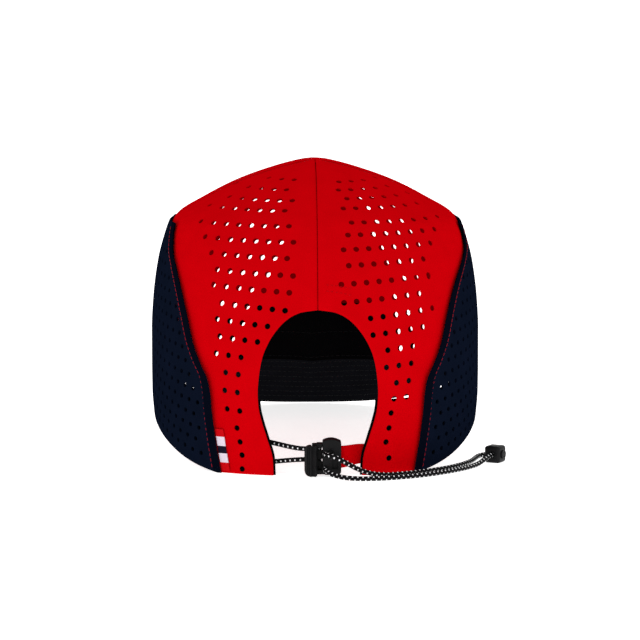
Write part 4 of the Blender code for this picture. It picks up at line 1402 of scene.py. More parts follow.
@dataclass
class StitchLine:
    """Rows of lockstitches: short rounded lengths of thread that dip into the cloth at both ends.

    Each ring is a share of the stitch's length, a share of the thread's radius and a rise in radii.
    """

    name: str
    finish: Material
    stitch: Stitch
    sides: int = 6
    rise: float = 0.35
    rings: tuple[tuple[float, float, float], ...] = (
        (-0.5, 0.35, -0.9), (-0.42, 0.9, -0.25), (-0.2, 1.0, 0.35), (0.0, 1.0, 0.5), (0.2, 1.0, 0.35),
        (0.42, 0.9, -0.25), (0.5, 0.35, -0.9))
    places: list[Array] = field(default_factory=list)
    faces: list[tuple[int, ...]] = field(default_factory=list)

    def along(self, path: Array, normals: Array) -> None:
        """Adds stitches along a path.

        Args:
            path: points on the cloth's face.
            normals: the cloth's outward normals there.
        """
        lengths = running_length(path)
        count = max(1, int(lengths[-1] / self.stitch.pitch))
        half = (self.stitch.pitch - self.stitch.gap) / 2
        for middle in (np.arange(count) + 0.5) * lengths[-1] / count:
            before, at, after = (np.array([np.interp(middle + d, lengths, path[:, i]) for i in range(3)])
                                 for d in (-half, 0.0, half))
            normal = np.array([np.interp(middle, lengths, normals[:, i]) for i in range(3)])
            self.add(at, after - before, normal)

    def add(self, middle: Array, span: Array, normal: Array) -> None:
        """Adds one stitch.

        Args:
            middle: its middle, on the cloth's face.
            span: from its start to its end.
            normal: the cloth's outward normal.
        """
        ahead = span / np.linalg.norm(span)
        normal = normal - ahead * float(normal @ ahead)
        normal = normal / np.linalg.norm(normal)
        right, radius = np.cross(ahead, normal), self.stitch.radius
        self.faces += tube_faces(len(self.rings), self.sides, len(self.places))
        for share, size, rise in self.rings:
            centre = middle + span * share + normal * radius * (rise + self.rise)
            for angle in np.linspace(0.0, 2 * math.pi, self.sides, endpoint=False):
                around = right * math.cos(angle) + normal * math.sin(angle)
                self.places.append(centre + radius * size * around)

    def on_cloth(self, cloth: ClothMap, u: Array, v: Array, lift: float) -> None:
        """Adds stitches along a line drawn on a panel's flat cloth, lifted off its face."""
        path = cloth.lifted(u, v, lift)
        self.along(path, (cloth.lifted(u, v, lift + 1.0 * MM) - path) / MM)

    def make(self, slot: str) -> Piece:
        """Makes the rows one piece that moves with the cap."""
        return settle(mesh_object(self.name, self.places, self.faces, self.finish, smooth_angle=60.0), slot)


def lay_panel(name: str, cloth: ClothMap, cut: FlatCut, lift: Array, material: Material) -> Piece:
    """Lays a cut panel on the cap, still without its wall."""
    places = cloth.lifted(*cut.places.T, lift)
    return mesh_object(f"{name}_cloth", places, face_outwards(places, cut.triangles), material, cut.places)


@dataclass(frozen=True)
class Hole:
    """A round hole: its middle on the flat cloth, and its x and height on the cap in millimetres."""

    u: float
    v: float
    x: float
    z: float


@dataclass
class RearPanel:
    """Red rear panel with its round holes, turned arch edge, hem and centre seam allowance."""

    side: Side
    finishes: Finishes
    thickness: float = 0.6 * MM
    spacing: float = 3.2 * MM
    hole_radius: float = 1.5 * MM
    hole_sides: int = 16
    hole_pitch_mm: float = 6.3
    reference_x_mm: float = 48.0
    row_slope: float = 0.1
    slope_top_mm: float = 125.0
    slope_run_mm: float = 45.0
    arch_margin: float = 4.6 * MM
    seam_margin: float = 5.0 * MM
    top_margin: float = 2.9 * MM
    top_gap: float = 0.2 * MM
    fold_depth: float = 0.45 * MM
    fold_width: float = 0.9 * MM
    lap_rise: float = 0.3 * MM
    lap_width: float = 4.0 * MM
    lap_step: float = 0.5 * MM
    hem_rise: float = 0.12 * MM
    hem_width: float = 4.4 * MM
    hem_step: float = 0.6 * MM
    hem_reach: float = 6.0 * MM
    seam_stitch_inset: float = 2.2 * MM
    seam_stitch_span: tuple[float, float] = (3.0 * MM, 60.0 * MM)
    bar_rises: tuple[float, ...] = (9.5 * MM, 12.7 * MM)
    bar_span: tuple[float, float] = (1.5 * MM, 17.0 * MM)
    bar_curve: float = 0.12
    bar_lift: float = 0.05 * MM

    def __post_init__(self) -> None:
        """Measures the panel's cloth."""
        self.name = f"rear_panel_{self.side.name.lower()}"
        self.cloth = RedMap(True, self.side)
        self.apex = self.cloth.length(CROWN.arch_height)
        self.head = self.cloth.total - self.top_gap

    def outline(self) -> Array:
        """Closed outline on the flat cloth.

        Returns:
            The outline.
        """
        round_arch = self.apex * np.sin(np.linspace(0.0, math.pi / 2, 46))
        inner = np.concatenate([round_arch, np.linspace(self.apex, self.head, 34)[1:]])
        outer = np.linspace(0.0, self.head, 80)
        return closed_outline(np.stack([self.cloth.inner_limit(inner), inner], axis=1),
                              np.stack([self.cloth.outer_limit(outer), outer], axis=1), 18, 44)

    def holes(self) -> list[Hole]:
        """The panel's holes: slightly slanting rows, and one column down to the hem.

        Returns:
            The holes.
        """
        cloth = self.cloth
        found = []
        for row in HOLE_ROWS[self.side]:
            below = min(max((self.slope_top_mm - row.height) / self.slope_run_mm, 0.0), 1.0)
            for x in np.arange(row.first, row.last, self.hole_pitch_mm):
                z = row.height + self.row_slope * below * (x - self.reference_x_mm)
                u, v = cloth.locate(x * MM, z * MM)
                start = cloth.inner_limit(v) + self.arch_margin
                end = cloth.seam_distance(v) - self.seam_margin
                if start < u < end and v < cloth.total - self.top_margin:
                    found.append(Hole(u, v, x, z))
        return found + [Hole(*cloth.locate(x * MM, z * MM), x, z) for x, z in HEM_COLUMN[self.side]]

    def shape(self, cut: FlatCut) -> Array:
        """Lift of each point: the turned edges, slight waves, the lapped seam and the arch's hem.

        Args:
            cut: the pierced cloth.

        Returns:
            The lifts.
        """
        (u, v), edge = cut.places.T, cut.edge_distance
        lift = fold(edge, self.fold_depth, self.fold_width)
        lift += ripple(u, v, 0.22 * MM, 23.0 * MM, 31.0 * MM, 0.7)
        above = v > self.apex
        if self.side is Side.RIGHT:
            lift += self.lap_rise * np.clip((self.lap_width - u) / self.lap_step + 0.5, 0.0, 1.0) * above
        hem = np.clip((self.hem_width - edge) / self.hem_step, 0.0, 1.0)
        return lift + self.hem_rise * hem * (u < self.cloth.inner_limit(v) + self.hem_reach) * ~above

    def stitching(self) -> Piece:
        """Stitches along the top seam, and on the right panel two curved bars above the opening.

        Returns:
            The stitches, as one piece.
        """
        line = StitchLine(f"{self.name}_stitches", self.finishes.red_thread, RED_SEAM_STITCH)
        along = np.linspace(*self.seam_stitch_span, 80)
        line.on_cloth(self.cloth, along, self.cloth.total - self.seam_stitch_inset, 0.0)
        if self.side is Side.RIGHT:
            bar = np.linspace(*self.bar_span, 20)
            for rise in self.bar_rises:
                line.on_cloth(self.cloth, bar, self.apex + rise - bar ** 2 / self.bar_curve, self.bar_lift)
        return line.make("red_cloth")

    def build(self) -> list[Piece]:
        """Cuts, pierces and folds the cloth, and stitches it.

        Returns:
            The pieces.
        """
        holes = [self.cloth.round_hole(hole.u, hole.v, self.hole_radius, self.hole_sides)
                 for hole in self.holes()]
        cut = Cutter().cut(self.outline(), holes, self.spacing)
        piece = lay_panel(self.name, self.cloth, cut, self.shape(cut), self.finishes.red)
        thicken(piece, self.thickness)
        return [settle(piece, "red_cloth", self.name), self.stitching()]


@dataclass
class SidePanel:
    """Navy side panel with staggered small holes, a plain raised band at its seams, darkened with painted
    shade, and topstitching.
    """

    side: Side
    finishes: Finishes
    thickness: float = 1.1 * MM
    spacing: float = 3.6 * MM
    hole_radius: float = 1.2 * MM
    hole_sides: int = 12
    hole_pitch: float = 6.2 * MM
    row_pitch: float = 5.4 * MM
    seam_margin: float = 8.5 * MM
    hem_margin: float = 6.0 * MM
    fold_depth: float = 0.5 * MM
    fold_width: float = 1.0 * MM
    band_width: float = 4.5 * MM
    band_rise: float = 0.35 * MM
    band_step: float = 1.0 * MM
    stitch: Stitch = Stitch(2.6 * MM, 0.6 * MM, 0.14 * MM)
    stitch_inset: float = 0.4 * MM
    stitch_lift: float = 0.25 * MM
    stitch_foot: float = 1.5 * MM
    stitch_head: float = 2.0 * MM
    bartack_drop: float = 5.0 * MM
    bartack_slant: float = 1.4 * MM
    bartack_start: float = 0.2 * MM
    bartack_overrun: float = 0.3 * MM
    bartack_lift: float = 0.4 * MM

    def __post_init__(self) -> None:
        """Measures the panel's cloth."""
        self.name = f"side_panel_{self.side.name.lower()}"
        self.cloth = SideMap(self.side)

    def outline(self) -> Array:
        """Closed outline on the flat cloth."""
        v = np.linspace(0.0, self.cloth.total, 90)
        rear, front = (np.stack([edge(v), v], axis=1) for edge in (self.cloth.start, self.cloth.end))
        return closed_outline(rear, front, 60, 40)

    def hole_places(self) -> list[tuple[float, float]]:
        """Middles of the holes on the flat cloth.

        Returns:
            Pairs of u and v.
        """
        places = []
        for k, v in enumerate(np.arange(self.hem_margin, self.cloth.total - self.hem_margin, self.row_pitch)):
            start = 0.5 * self.hole_pitch * (k % 2)
            low = self.cloth.start(v) + self.seam_margin - start
            high = self.cloth.end(v) - self.seam_margin - start
            steps = range(math.ceil(low / self.hole_pitch), math.floor(high / self.hole_pitch) + 1)
            places += [(start + self.hole_pitch * n, v) for n in steps]
        return places

    def stitching(self) -> Piece:
        """Topstitching along both seams, and on the right panel a short slanting row at the band's top.

        Returns:
            The stitches, as one piece.
        """
        cloth = self.cloth
        line = StitchLine(f"{self.name}_topstitch", self.finishes.dark_red_thread, self.stitch)
        v = np.linspace(self.stitch_foot, cloth.total - self.stitch_head, 160)
        line.on_cloth(cloth, cloth.start(v) + self.band_width + self.stitch_inset, v, self.stitch_lift)
        line.on_cloth(cloth, cloth.end(v) - self.band_width - self.stitch_inset, v, self.stitch_lift)
        if self.side is Side.RIGHT:
            v = cloth.total - np.linspace(self.bartack_drop + self.bartack_slant, self.bartack_drop, 5)
            across = np.linspace(self.bartack_start, self.band_width + self.bartack_overrun, 5)
            line.on_cloth(cloth, cloth.start(v) + across, v, self.bartack_lift)
        return line.make("navy_cloth")

    def build(self) -> list[Piece]:
        """Cuts, pierces and folds the cloth, and stitches it.

        Returns:
            The pieces.
        """
        cloth = self.cloth
        holes = [cloth.round_hole(u, v, self.hole_radius, self.hole_sides) for u, v in self.hole_places()]
        cut = Cutter().cut(self.outline(), holes, self.spacing)
        u, v = cut.places.T
        seam = np.minimum(u - cloth.start(v), cloth.end(v) - u)
        lift = fold(cut.edge_distance, self.fold_depth, self.fold_width)
        lift += self.band_rise * (1.0 - np.clip((seam - self.band_width) / self.band_step, 0.0, 1.0))
        lift += ripple(u, v, 0.25 * MM, 19.0 * MM, 27.0 * MM)
        piece = lay_panel(self.name, cloth, cut, lift, self.finishes.navy)
        # Distance from the seams, by which the navy cloth paints shade on the folded band
        add_layer(piece.data, "seam", np.stack([seam, v], axis=1) / MM)
        thicken(piece, self.thickness)
        return [settle(piece, "navy_cloth", self.name), self.stitching()]


@dataclass
class FrontPanel:
    """Red front panel; its holes lie in line with rear ones, so that light passes straight through.

    The light offsets say how far they miss the lines of sight, as x and height in millimetres.
    """

    finishes: Finishes
    rear_panels: Sequence[RearPanel]
    thickness: float = 0.6 * MM
    spacing: float = 3.6 * MM
    hole_radius: float = 1.6 * MM
    hole_sides: int = 14
    hole_distance: float = 2.4
    seam_margin: float = 5.0 * MM
    hem_margin: float = 4.0 * MM
    top_margin: float = 4.0 * MM
    top_gap: float = 0.2 * MM
    band_top: float = 66.0 * MM
    fold_depth: float = 0.45 * MM
    fold_width: float = 0.9 * MM
    stitch_reach: float = 60.0 * MM
    stitch_inset: float = 2.2 * MM
    sight_span: tuple[float, float] = (30.0 * MM, 215.0 * MM)
    sight_start: float = 5.0 * MM
    drift_mm: float = 0.28
    drift_seed: int = 7
    light_offsets: dict[Side, tuple[float, float]] = field(
        default_factory=lambda: {Side.LEFT: (0.85, -0.85), Side.RIGHT: (0.95, 0.3)})

    def __post_init__(self) -> None:
        """Measures the panel's cloth."""
        self.cloth = RedMap(False, Side.RIGHT)
        self.low_places: list[Array] = []

    def outline(self) -> Array:
        """Closed outline on the flat cloth, u signed from the middle."""
        v = np.linspace(0.0, self.cloth.total - self.top_gap, 80)
        right = np.stack([self.cloth.outer_limit(v), v], axis=1)
        return closed_outline(right * np.array([-1.0, 1.0]), right, 60, 90)

    @staticmethod
    def lit(side: Side, hole: Hole) -> bool:
        """Whether light shows through a rear hole in the photograph.

        Args:
            side: the hole's panel.
            hole: the hole, with its x and height in millimetres.

        Returns:
            True inside the slanting patch of light on that panel.
        """
        if side is Side.LEFT:
            low = min(18.0 + 0.45 * max(0.0, 112.0 - hole.z), 36.5)
            return hole.z >= 48.0 and low < hole.x < 52.5
        low = min(max(21.0 + 0.5 * (131.0 - hole.z), 18.0), 38.0)
        return hole.z >= 60.0 and low < hole.x < min(44.0 + 0.4 * max(0.0, 131.0 - hole.z), 53.0)

    def landing(self, start: Array, eye: Array) -> Array | None:
        """Follows a line of sight to the front of the crown.

        Args:
            start: the rear hole that it passes.
            eye: the camera's place.

        Returns:
            The place where it lands, or None where it doesn't.
        """
        run = (start - eye) / (start - eye)[1]
        line = start + np.linspace(*self.sight_span, 400)[:, None] * run
        line = line[line[:, 1] > CROWN.centre_y + self.sight_start]
        beyond = np.nonzero(line[:, 1] > CROWN.depth_at(line[:, 0], line[:, 2], False))[0]
        return line[beyond[0]] if len(beyond) and beyond[0] > 0 else None

    def hole_places(self) -> list[tuple[float, float]]:
        """Middles of the holes on the flat cloth: where lines of sight through rear holes land.

        Returns:
            Pairs of u and v.
        """
        cloth = self.cloth
        eye, _ = PhotoCamera().place()
        jitter = np.random.default_rng(self.drift_seed)
        places = []
        for panel in self.rear_panels:
            aside, rise = self.light_offsets[panel.side]
            for hole in panel.holes():
                drift = jitter.normal(0.0, self.drift_mm, 2)
                if not self.lit(panel.side, hole):
                    continue
                place = self.landing(panel.cloth.points(hole.u, hole.v), eye)
                if place is None:
                    continue
                place = place + np.array([aside + drift[0], 0.0, rise + drift[1]]) * MM
                u, v = cloth.locate(*place[[0, 2]])
                clear = abs(u) < cloth.seam_distance(v) - self.seam_margin
                clear = clear and self.hem_margin < v < cloth.total - self.top_margin
                apart = self.hole_distance * self.hole_radius
                if clear and all(math.hypot(u - a, v - b) > apart for a, b in places):
                    places.append((u, v))
                    if place[2] < self.band_top:
                        self.low_places.append(place)
        return places

    def build(self) -> list[Piece]:
        """Cuts and pierces the cloth, and stitches its top seam.

        Returns:
            The pieces.
        """
        cloth = self.cloth
        holes = [cloth.round_hole(u, v, self.hole_radius, self.hole_sides) for u, v in self.hole_places()]
        cut = Cutter().cut(self.outline(), holes, self.spacing)
        lift = fold(cut.edge_distance, self.fold_depth, self.fold_width)
        lift += ripple(*cut.places.T, 0.2 * MM, 25.0 * MM, 29.0 * MM)
        piece = lay_panel("front_panel", cloth, cut, lift, self.finishes.red)
        thicken(piece, self.thickness, lining=self.finishes.lining)
        line = StitchLine("front_panel_stitches", self.finishes.red_thread, RED_SEAM_STITCH)
        along = np.linspace(-self.stitch_reach, self.stitch_reach, 160)
        line.on_cloth(cloth, along, cloth.total - self.stitch_inset, 0.0)
        return [settle(piece, "red_cloth", "front_panel"), line.make("red_cloth")]


@dataclass
class SeamTape:
    """Red tape sewn inside the crown over the centre seam and the top seam."""

    finishes: Finishes
    half_width: float = 4.5 * MM
    top_reach: float = 90.0 * MM
    arch_gap: float = 3.0 * MM
    fold_gap: float = 0.3 * MM
    lift: float = -1.6 * MM
    thickness: float = 0.4 * MM

    def build(self) -> list[Piece]:
        """Lays both tapes.

        Returns:
            The pieces.
        """
        rear, front = RedMap(True, Side.RIGHT), RedMap(False, Side.RIGHT)
        across = np.linspace(-self.half_width, self.half_width, 9)
        centre = [rear.lifted(across, v, self.lift)
                  for v in np.linspace(CROWN.arch_height + self.arch_gap, rear.total - self.half_width, 60)]
        along = np.linspace(-self.top_reach, self.top_reach, 150)
        insets = np.linspace(self.half_width, self.fold_gap, 5)
        top = [rear.lifted(along, rear.total - inset, self.lift) for inset in insets]
        top += [front.lifted(along, front.total - inset, self.lift) for inset in insets[::-1]]
        return [settle(sheet_object(name, np.array(rows), self.finishes.red, self.thickness), "red_cloth")
                for name, rows in (("centre_seam_tape", centre), ("top_seam_tape", top))]


@dataclass
class Visor:
    """Cloth-covered peak with rows of stitching that follow its edge."""

    finishes: Finishes
    reach: float = 60.0 * MM
    thickness: float = 2.8 * MM
    end_angle: float = 51.0
    end_reach: float = 2.0 * MM
    spread: float = 0.85
    fullness: float = 0.9
    edge_power: float = 2.2
    gap: float = 0.3 * MM
    columns: int = 141
    row_count: int = 9
    steps_per_row: int = 8
    nose_steps: int = 7
    groove_depth: float = 0.25 * MM
    groove_width: float = 1.0 * MM
    cloth_radius: float = 110.0 * MM
    stitch: Stitch = Stitch(2.9 * MM, 0.6 * MM, 0.2 * MM)
    stitch_end: float = 0.93

    def reach_at(self, share: Array) -> Array:
        """Reach of the peak; share is -1 and 1 at its two ends."""
        return np.maximum(self.reach * np.abs(np.cos(0.5 * math.pi * share)) ** self.fullness, self.end_reach)

    def underside(self, out: Array, share: Array) -> Array:
        """Points of the peak's lower face.

        Args:
            out: 0 at the crown and 1 at the peak's edge.
            share: -1 and 1 at the peak's two ends.

        Returns:
            The points.
        """
        share = np.clip(share, -1.0, 1.0)
        angle = 180.0 - self.end_angle * share
        base = CROWN.level_point(angle, CROWN.rim_height(angle), self.gap)
        reach = self.reach_at(share) * out
        heading = np.radians(self.spread * self.end_angle * share)
        drop = base[..., 2] * out * (1.0 - np.abs(share) ** self.edge_power)
        return base + np.stack([np.sin(heading) * reach, np.cos(heading) * reach, -drop], axis=-1)

    def surface(self, out: Array, share: Array, lift: Array) -> Array:
        """Points of the peak.

        Args:
            out: 0 at the crown and 1 at the peak's edge.
            share: -1 and 1 at the peak's two ends.
            lift: distance above its underside.

        Returns:
            The points.
        """
        step = 1e-3
        along = self.underside(out, share + step) - self.underside(out, share - step)
        away = self.underside(out + step, share) - self.underside(out - step, share)
        normal = np.cross(along, away)
        normal /= np.maximum(np.linalg.norm(normal, axis=-1, keepdims=True), TINY)
        return self.underside(out, share) + normal * np.sign(normal[..., 2:]) * np.asarray(lift)[..., None]

    def groove(self, out: Array) -> Array:
        """Depth of the stitched grooves."""
        rows = (np.arange(self.row_count) + 0.5) / self.row_count
        away = (out[:, None] - rows) * self.reach / self.groove_width
        return self.groove_depth * np.exp(-away ** 2).sum(axis=-1)

    def board(self) -> Piece:
        """The covered board: rings of points from end to end, with a rounded edge.

        Returns:
            The board.
        """
        shares = np.linspace(-1.0, 1.0, self.columns)
        steps = np.linspace(0.0, 1.0, self.row_count * self.steps_per_row + 1)
        half = self.thickness / 2
        turn = np.linspace(-0.5 * math.pi, 0.5 * math.pi, self.nose_steps + 2)[1:-1]
        rings = []
        for share, reach in zip(shares, self.reach_at(shares)):
            nose = min(half, 0.5 * reach) / reach
            flat = steps * (1.0 - nose)
            outs = np.concatenate([flat, 1.0 - nose + nose * np.cos(turn), flat[::-1]])
            lifts = np.concatenate([self.groove(flat), half + half * np.sin(turn),
                                    self.thickness - self.groove(flat[::-1])])
            rings.append(self.surface(outs, share, lifts))
        count = len(rings[0])
        around = np.repeat(shares * math.radians(self.end_angle) * self.cloth_radius, count)
        nose_uvs = 1.0 + 0.02 * np.arange(self.nose_steps)
        outward = np.tile(np.concatenate([steps, nose_uvs, steps[::-1]]) * self.reach, self.columns)
        piece = mesh_object("visor_covered_board", np.concatenate(rings), tube_faces(self.columns, count),
                            self.finishes.visor_cloth, np.stack([around, outward], axis=1))
        make_consistent(piece)
        return settle(piece, "black_cloth", "visor")

    def build(self) -> list[Piece]:
        """Makes the covered board, and its stitching on both faces.

        Returns:
            The pieces.
        """
        line = StitchLine("visor_stitching", self.finishes.black_thread, self.stitch)
        along = np.linspace(-self.stitch_end, self.stitch_end, 200)
        for out in (np.arange(self.row_count) + 0.5) / self.row_count:
            for lift, sign in ((self.groove_depth, -1.0), (self.thickness - self.groove_depth, 1.0)):
                path = self.surface(out, along, lift)
                line.along(path, sign * (self.surface(out, along, lift + 1.0 * MM) - path) / MM)
        return [self.board(), line.make("black_cloth")]


@dataclass
class Sweatband:
    """Black band inside the rim, stitched along both edges and pierced behind the front panel's low holes."""

    finishes: Finishes
    front: FrontPanel
    height: float = 38.0 * MM
    front_height: float = 31.0 * MM
    thickness: float = 1.0 * MM
    overhang: float = 1.0 * MM
    lift: float = -1.7 * MM
    rows: int = 26
    columns: int = 220
    edge_depth: float = 0.25 * MM
    edge_share: float = 0.06
    stitch: Stitch = Stitch(2.9 * MM, 0.7 * MM, 0.18 * MM)
    stitch_shares: tuple[float, ...] = (0.07, 0.5, 0.93)
    stitch_inset: float = 1.0
    hole_radius: float = 2.0 * MM
    hole_setback: float = 4.0 * MM
    hole_rise: float = 0.4 * MM
    hole_length: float = 12.0 * MM

    def row(self, share: float, steps: int, inset: float, end: float = 0.0) -> Array:
        """Points of the band from end to end.

        Args:
            share: 0 at the rim and 1 at the band's upper edge.
            steps: number of points.
            inset: distance inside the band's outer face.
            end: angle, in degrees, that is left out at both ends.

        Returns:
            The points.
        """
        z = share * self.height
        edge = CROWN.arch_half_width(z) - self.overhang
        start = CROWN.level_angle(edge, z, True, self.lift) + end
        angle = np.linspace(start, 360.0 - start, steps)
        rim = CROWN.rim_height(angle)
        narrowing = (self.height - self.front_height) * rim / CROWN.rim_front_rise
        return CROWN.level_point(angle, rim + share * (self.height - narrowing), self.lift - inset)

    def pierce(self, piece: Piece) -> None:
        """Cuts the band's holes, on the sight lines through the front panel's low ones.

        Args:
            piece: the band.
        """
        places = [(x, y - self.hole_setback, z + self.hole_rise) for x, y, z in self.front.low_places]
        tools = [rod_tool(self.hole_radius, place, "Y", self.hole_length) for place in places]
        if tools:
            select_only(tools[0])
            for tool in tools:
                tool.select_set(True)
            bpy.ops.object.join()
            Moulding(piece).combine("DIFFERENCE", tools[0])

    def build(self) -> list[Piece]:
        """Makes the band and its stitching.

        Returns:
            The pieces.
        """
        rows = []
        for share in np.linspace(0.0, 1.0, self.rows):
            turned = max(0.0, 1.0 - min(share, 1.0 - share) / self.edge_share)
            rows.append(self.row(share, self.columns, self.edge_depth * turned ** 2))
        piece = sheet_object("sweatband_cloth", np.array(rows), self.finishes.black, self.thickness)
        self.pierce(piece)
        line = StitchLine("sweatband_stitching", self.finishes.black_thread, self.stitch)
        for share in self.stitch_shares:
            path, inner = (self.row(share, 400, self.thickness + depth, self.stitch_inset)
                           for depth in (0.0, 1.0 * MM))
            line.along(path, (inner - path) / MM)
        return [settle(piece, "black_cloth", "sweatband"), line.make("black_cloth")]


@dataclass
class CordSet:
    """The free loop of elastic cord with its stopper, the held loop, and the sleeve that it turns in."""

    finishes: Finishes
    inner_route: tuple[Point, ...] = (
        (0.0035, -0.0883, 0.0120), (0.0035, -0.0894, 0.0120), (0.0043, -0.0924, 0.0120),
        (0.0065, -0.0946, 0.0117), (0.0095, -0.0954, 0.0108), (0.0142, -0.0951, 0.0083),
        (0.0200, -0.0937, 0.0051), (0.0265, -0.0915, 0.0026), (0.0335, -0.0886, 0.0015),
        (0.0425, -0.0845, 0.0013), (0.0545, -0.0765, 0.0013), (0.0650, -0.0668, 0.0013),
        (0.0730, -0.0560, 0.0013), (0.0786, -0.0445, 0.0013), (0.0812, -0.0355, 0.0013),
        (0.0835, -0.0288, 0.0014), (0.0864, -0.0262, 0.0016), (0.0902, -0.0258, 0.0021),
        (0.0936, -0.0277, 0.0029), (0.0952, -0.0313, 0.0037), (0.0944, -0.0351, 0.0042))
    outer_route: tuple[Point, ...] = (
        (0.0878, -0.0466, 0.0042), (0.0855, -0.0505, 0.0034), (0.0815, -0.0568, 0.0018),
        (0.0755, -0.0655, 0.0013), (0.0680, -0.0745, 0.0013), (0.0590, -0.0830, 0.0013),
        (0.0490, -0.0902, 0.0013), (0.0385, -0.0955, 0.0013), (0.0285, -0.0986, 0.0013),
        (0.0195, -0.0995, 0.0014), (0.0120, -0.0985, 0.0019), (0.0064, -0.0953, 0.0030),
        (0.0038, -0.0910, 0.0042), (0.0035, -0.0883, 0.0045))
    bore_shares: tuple[float, ...] = (0.6, 0.0, -0.6)
    stopper_place: Point = (91.0 * MM, -41.0 * MM + CROWN.centre_y, 4.3 * MM)
    stopper_turn: float = math.radians(60.0)
    stopper_size: float = 8.6 * MM
    stopper_rounding: float = 1.5 * MM
    stopper_bore: float = 1.6 * MM
    boss_radius: float = 2.2 * MM
    boss_rise: float = 0.8 * MM
    boss_root: float = 0.3 * MM
    boss_groove: tuple[float, float] = (1.35 * MM, 0.28 * MM)
    top_groove: tuple[float, float] = (3.3 * MM, 0.3 * MM)
    turn_radius: float = 5.1 * MM
    turn_height: float = 10.6 * MM
    held_y: float = -80.6 * MM + CROWN.centre_y
    held_end_x: float = 1.9 * MM
    held_heights: tuple[float, float] = (13.6 * MM, 8.0 * MM)
    straight_share: float = 0.62
    sleeve_foot: float = 1.6 * MM
    sleeve_height: float = 18.0 * MM
    sleeve_depth: float = 9.0 * MM
    sleeve_wall: float = 1.0 * MM
    sleeve_clearance: float = 0.35 * MM
    sleeve_rounding: float = 0.35 * MM
    gap: float = 0.3 * MM
    stitch: Stitch = Stitch(2.2 * MM, 0.5 * MM, 0.16 * MM)
    stitch_insets: tuple[float, ...] = (1.4 * MM, 4.4 * MM)
    stitch_margin: float = 1.0 * MM

    def __post_init__(self) -> None:
        """Finds where the sleeve stands, behind the opening's left edge."""
        self.sleeve_top = self.sleeve_foot + self.sleeve_height
        self.mouth = Sweatband.overhang - self.gap - float(CROWN.arch_half_width(self.sleeve_top))
        self.back = self.mouth - self.sleeve_depth
        lift = Sweatband.lift - Sweatband.thickness
        self.outer = float(CROWN.depth_at(self.back, self.sleeve_foot, True, lift)) + self.gap
        self.cavity = BraidedCord.diameter + 2 * self.sleeve_clearance

    def build(self) -> list[Piece]:
        """Lays the free cord with its stopper, and threads the held loop through its sleeve.

        Returns:
            The pieces.
        """
        stopper = self.stopper()
        ahead = np.array([math.cos(self.stopper_turn), math.sin(self.stopper_turn), 0.0])
        bore = [self.stopper_place + 0.5 * self.stopper_size * share * ahead for share in self.bore_shares]
        inner, outer = (np.array(route) + (0.0, CROWN.centre_y, 0.0)
                        for route in (self.inner_route, self.outer_route))
        free = BraidedCord("elastic_cord_free", [*inner, *bore, *outer], self.finishes.elastic)
        settle(free.piece, "black_elastic", "cord_tail")
        LOG.info("free cord %.1f mm", free.lengths[-1] / MM)
        return [free.piece, stopper, self.held(), *self.sleeve()]

    def stopper(self) -> Piece:
        """Moulded stopper: a rounded block with a round boss, ring grooves and a bore.

        Returns:
            The stopper.
        """
        half = 0.5 * self.stopper_size
        bpy.ops.mesh.primitive_cube_add(size=self.stopper_size)
        work = Moulding(bpy.context.active_object)
        work.piece.name = "cord_stopper_moulding"
        work.round_edges(self.stopper_rounding, 5)
        boss = (0.0, -half - 0.5 * (self.boss_rise - self.boss_root), 0.0)
        work.combine("UNION", rod_tool(self.boss_radius, boss, "Y", self.boss_rise + self.boss_root))
        work.combine("DIFFERENCE", ring_tool(*self.boss_groove, (0.0, -half - self.boss_rise, 0.0), "Y"),
                     ring_tool(*self.top_groove, (0.0, 0.0, half), "Z"),
                     rod_tool(self.stopper_bore, (0.0, 0.0, 0.0), "X", 2.4 * half))
        work.piece.rotation_euler = (0.0, 0.0, self.stopper_turn)
        work.piece.location = self.stopper_place
        return work.finish(self.finishes.plastic, "black_plastic", "cord_stopper")

    def held(self) -> Piece:
        """The loop between the clasp and the sleeve.

        Returns:
            The cord.
        """
        far = self.back + self.sleeve_wall + 0.5 * self.cavity + self.turn_radius
        turn_y = self.outer + self.sleeve_wall + 0.5 * self.cavity
        entry = far + self.straight_share * (self.held_end_x - far)
        upper, lower = self.held_heights
        route = [(self.held_end_x, self.held_y, upper), (entry, self.held_y, upper),
                 (self.mouth, turn_y, self.turn_height + self.turn_radius)]
        route += [(x, turn_y, z) for x, z in arc((far, self.turn_height), self.turn_radius, 90.0, 180.0, 7)]
        route += [(self.mouth, turn_y, self.turn_height - self.turn_radius), (entry, self.held_y, lower),
                  (self.held_end_x, self.held_y, lower)]
        cord = BraidedCord("elastic_cord_held", route, self.finishes.elastic)
        return settle(cord.piece, "black_elastic", "cord_held")

    def sleeve(self) -> list[Piece]:
        """Folded cloth sleeve, open towards the clasp, with its stitching.

        Returns:
            The sleeve and its stitching.
        """
        right, left, outer, wall = self.mouth, self.back, self.outer, self.sleeve_wall
        inner = outer + self.cavity + 2 * wall
        outline = [(right, outer), (right, outer + wall), (left + wall, outer + wall),
                   (left + wall, inner - wall), (right, inner - wall), (right, inner), (left, inner),
                   (left, outer)]
        work = Moulding(prism("cord_sleeve_cloth", outline, self.sleeve_foot, self.sleeve_top))
        work.round_edges(self.sleeve_rounding, 3)
        line = StitchLine("cord_sleeve_stitching", self.finishes.black_thread, self.stitch)
        for inset in self.stitch_insets:
            low, high = self.sleeve_foot + self.stitch_margin, self.sleeve_top - self.stitch_margin
            path = np.linspace((right - inset, inner, low), (right - inset, inner, high), 12)
            line.along(path, np.tile((0.0, 1.0, 0.0), (len(path), 1)))
        piece = work.finish(self.finishes.coated_black, "black_cloth", "cord_tunnel")
        return [piece, line.make("black_cloth")]


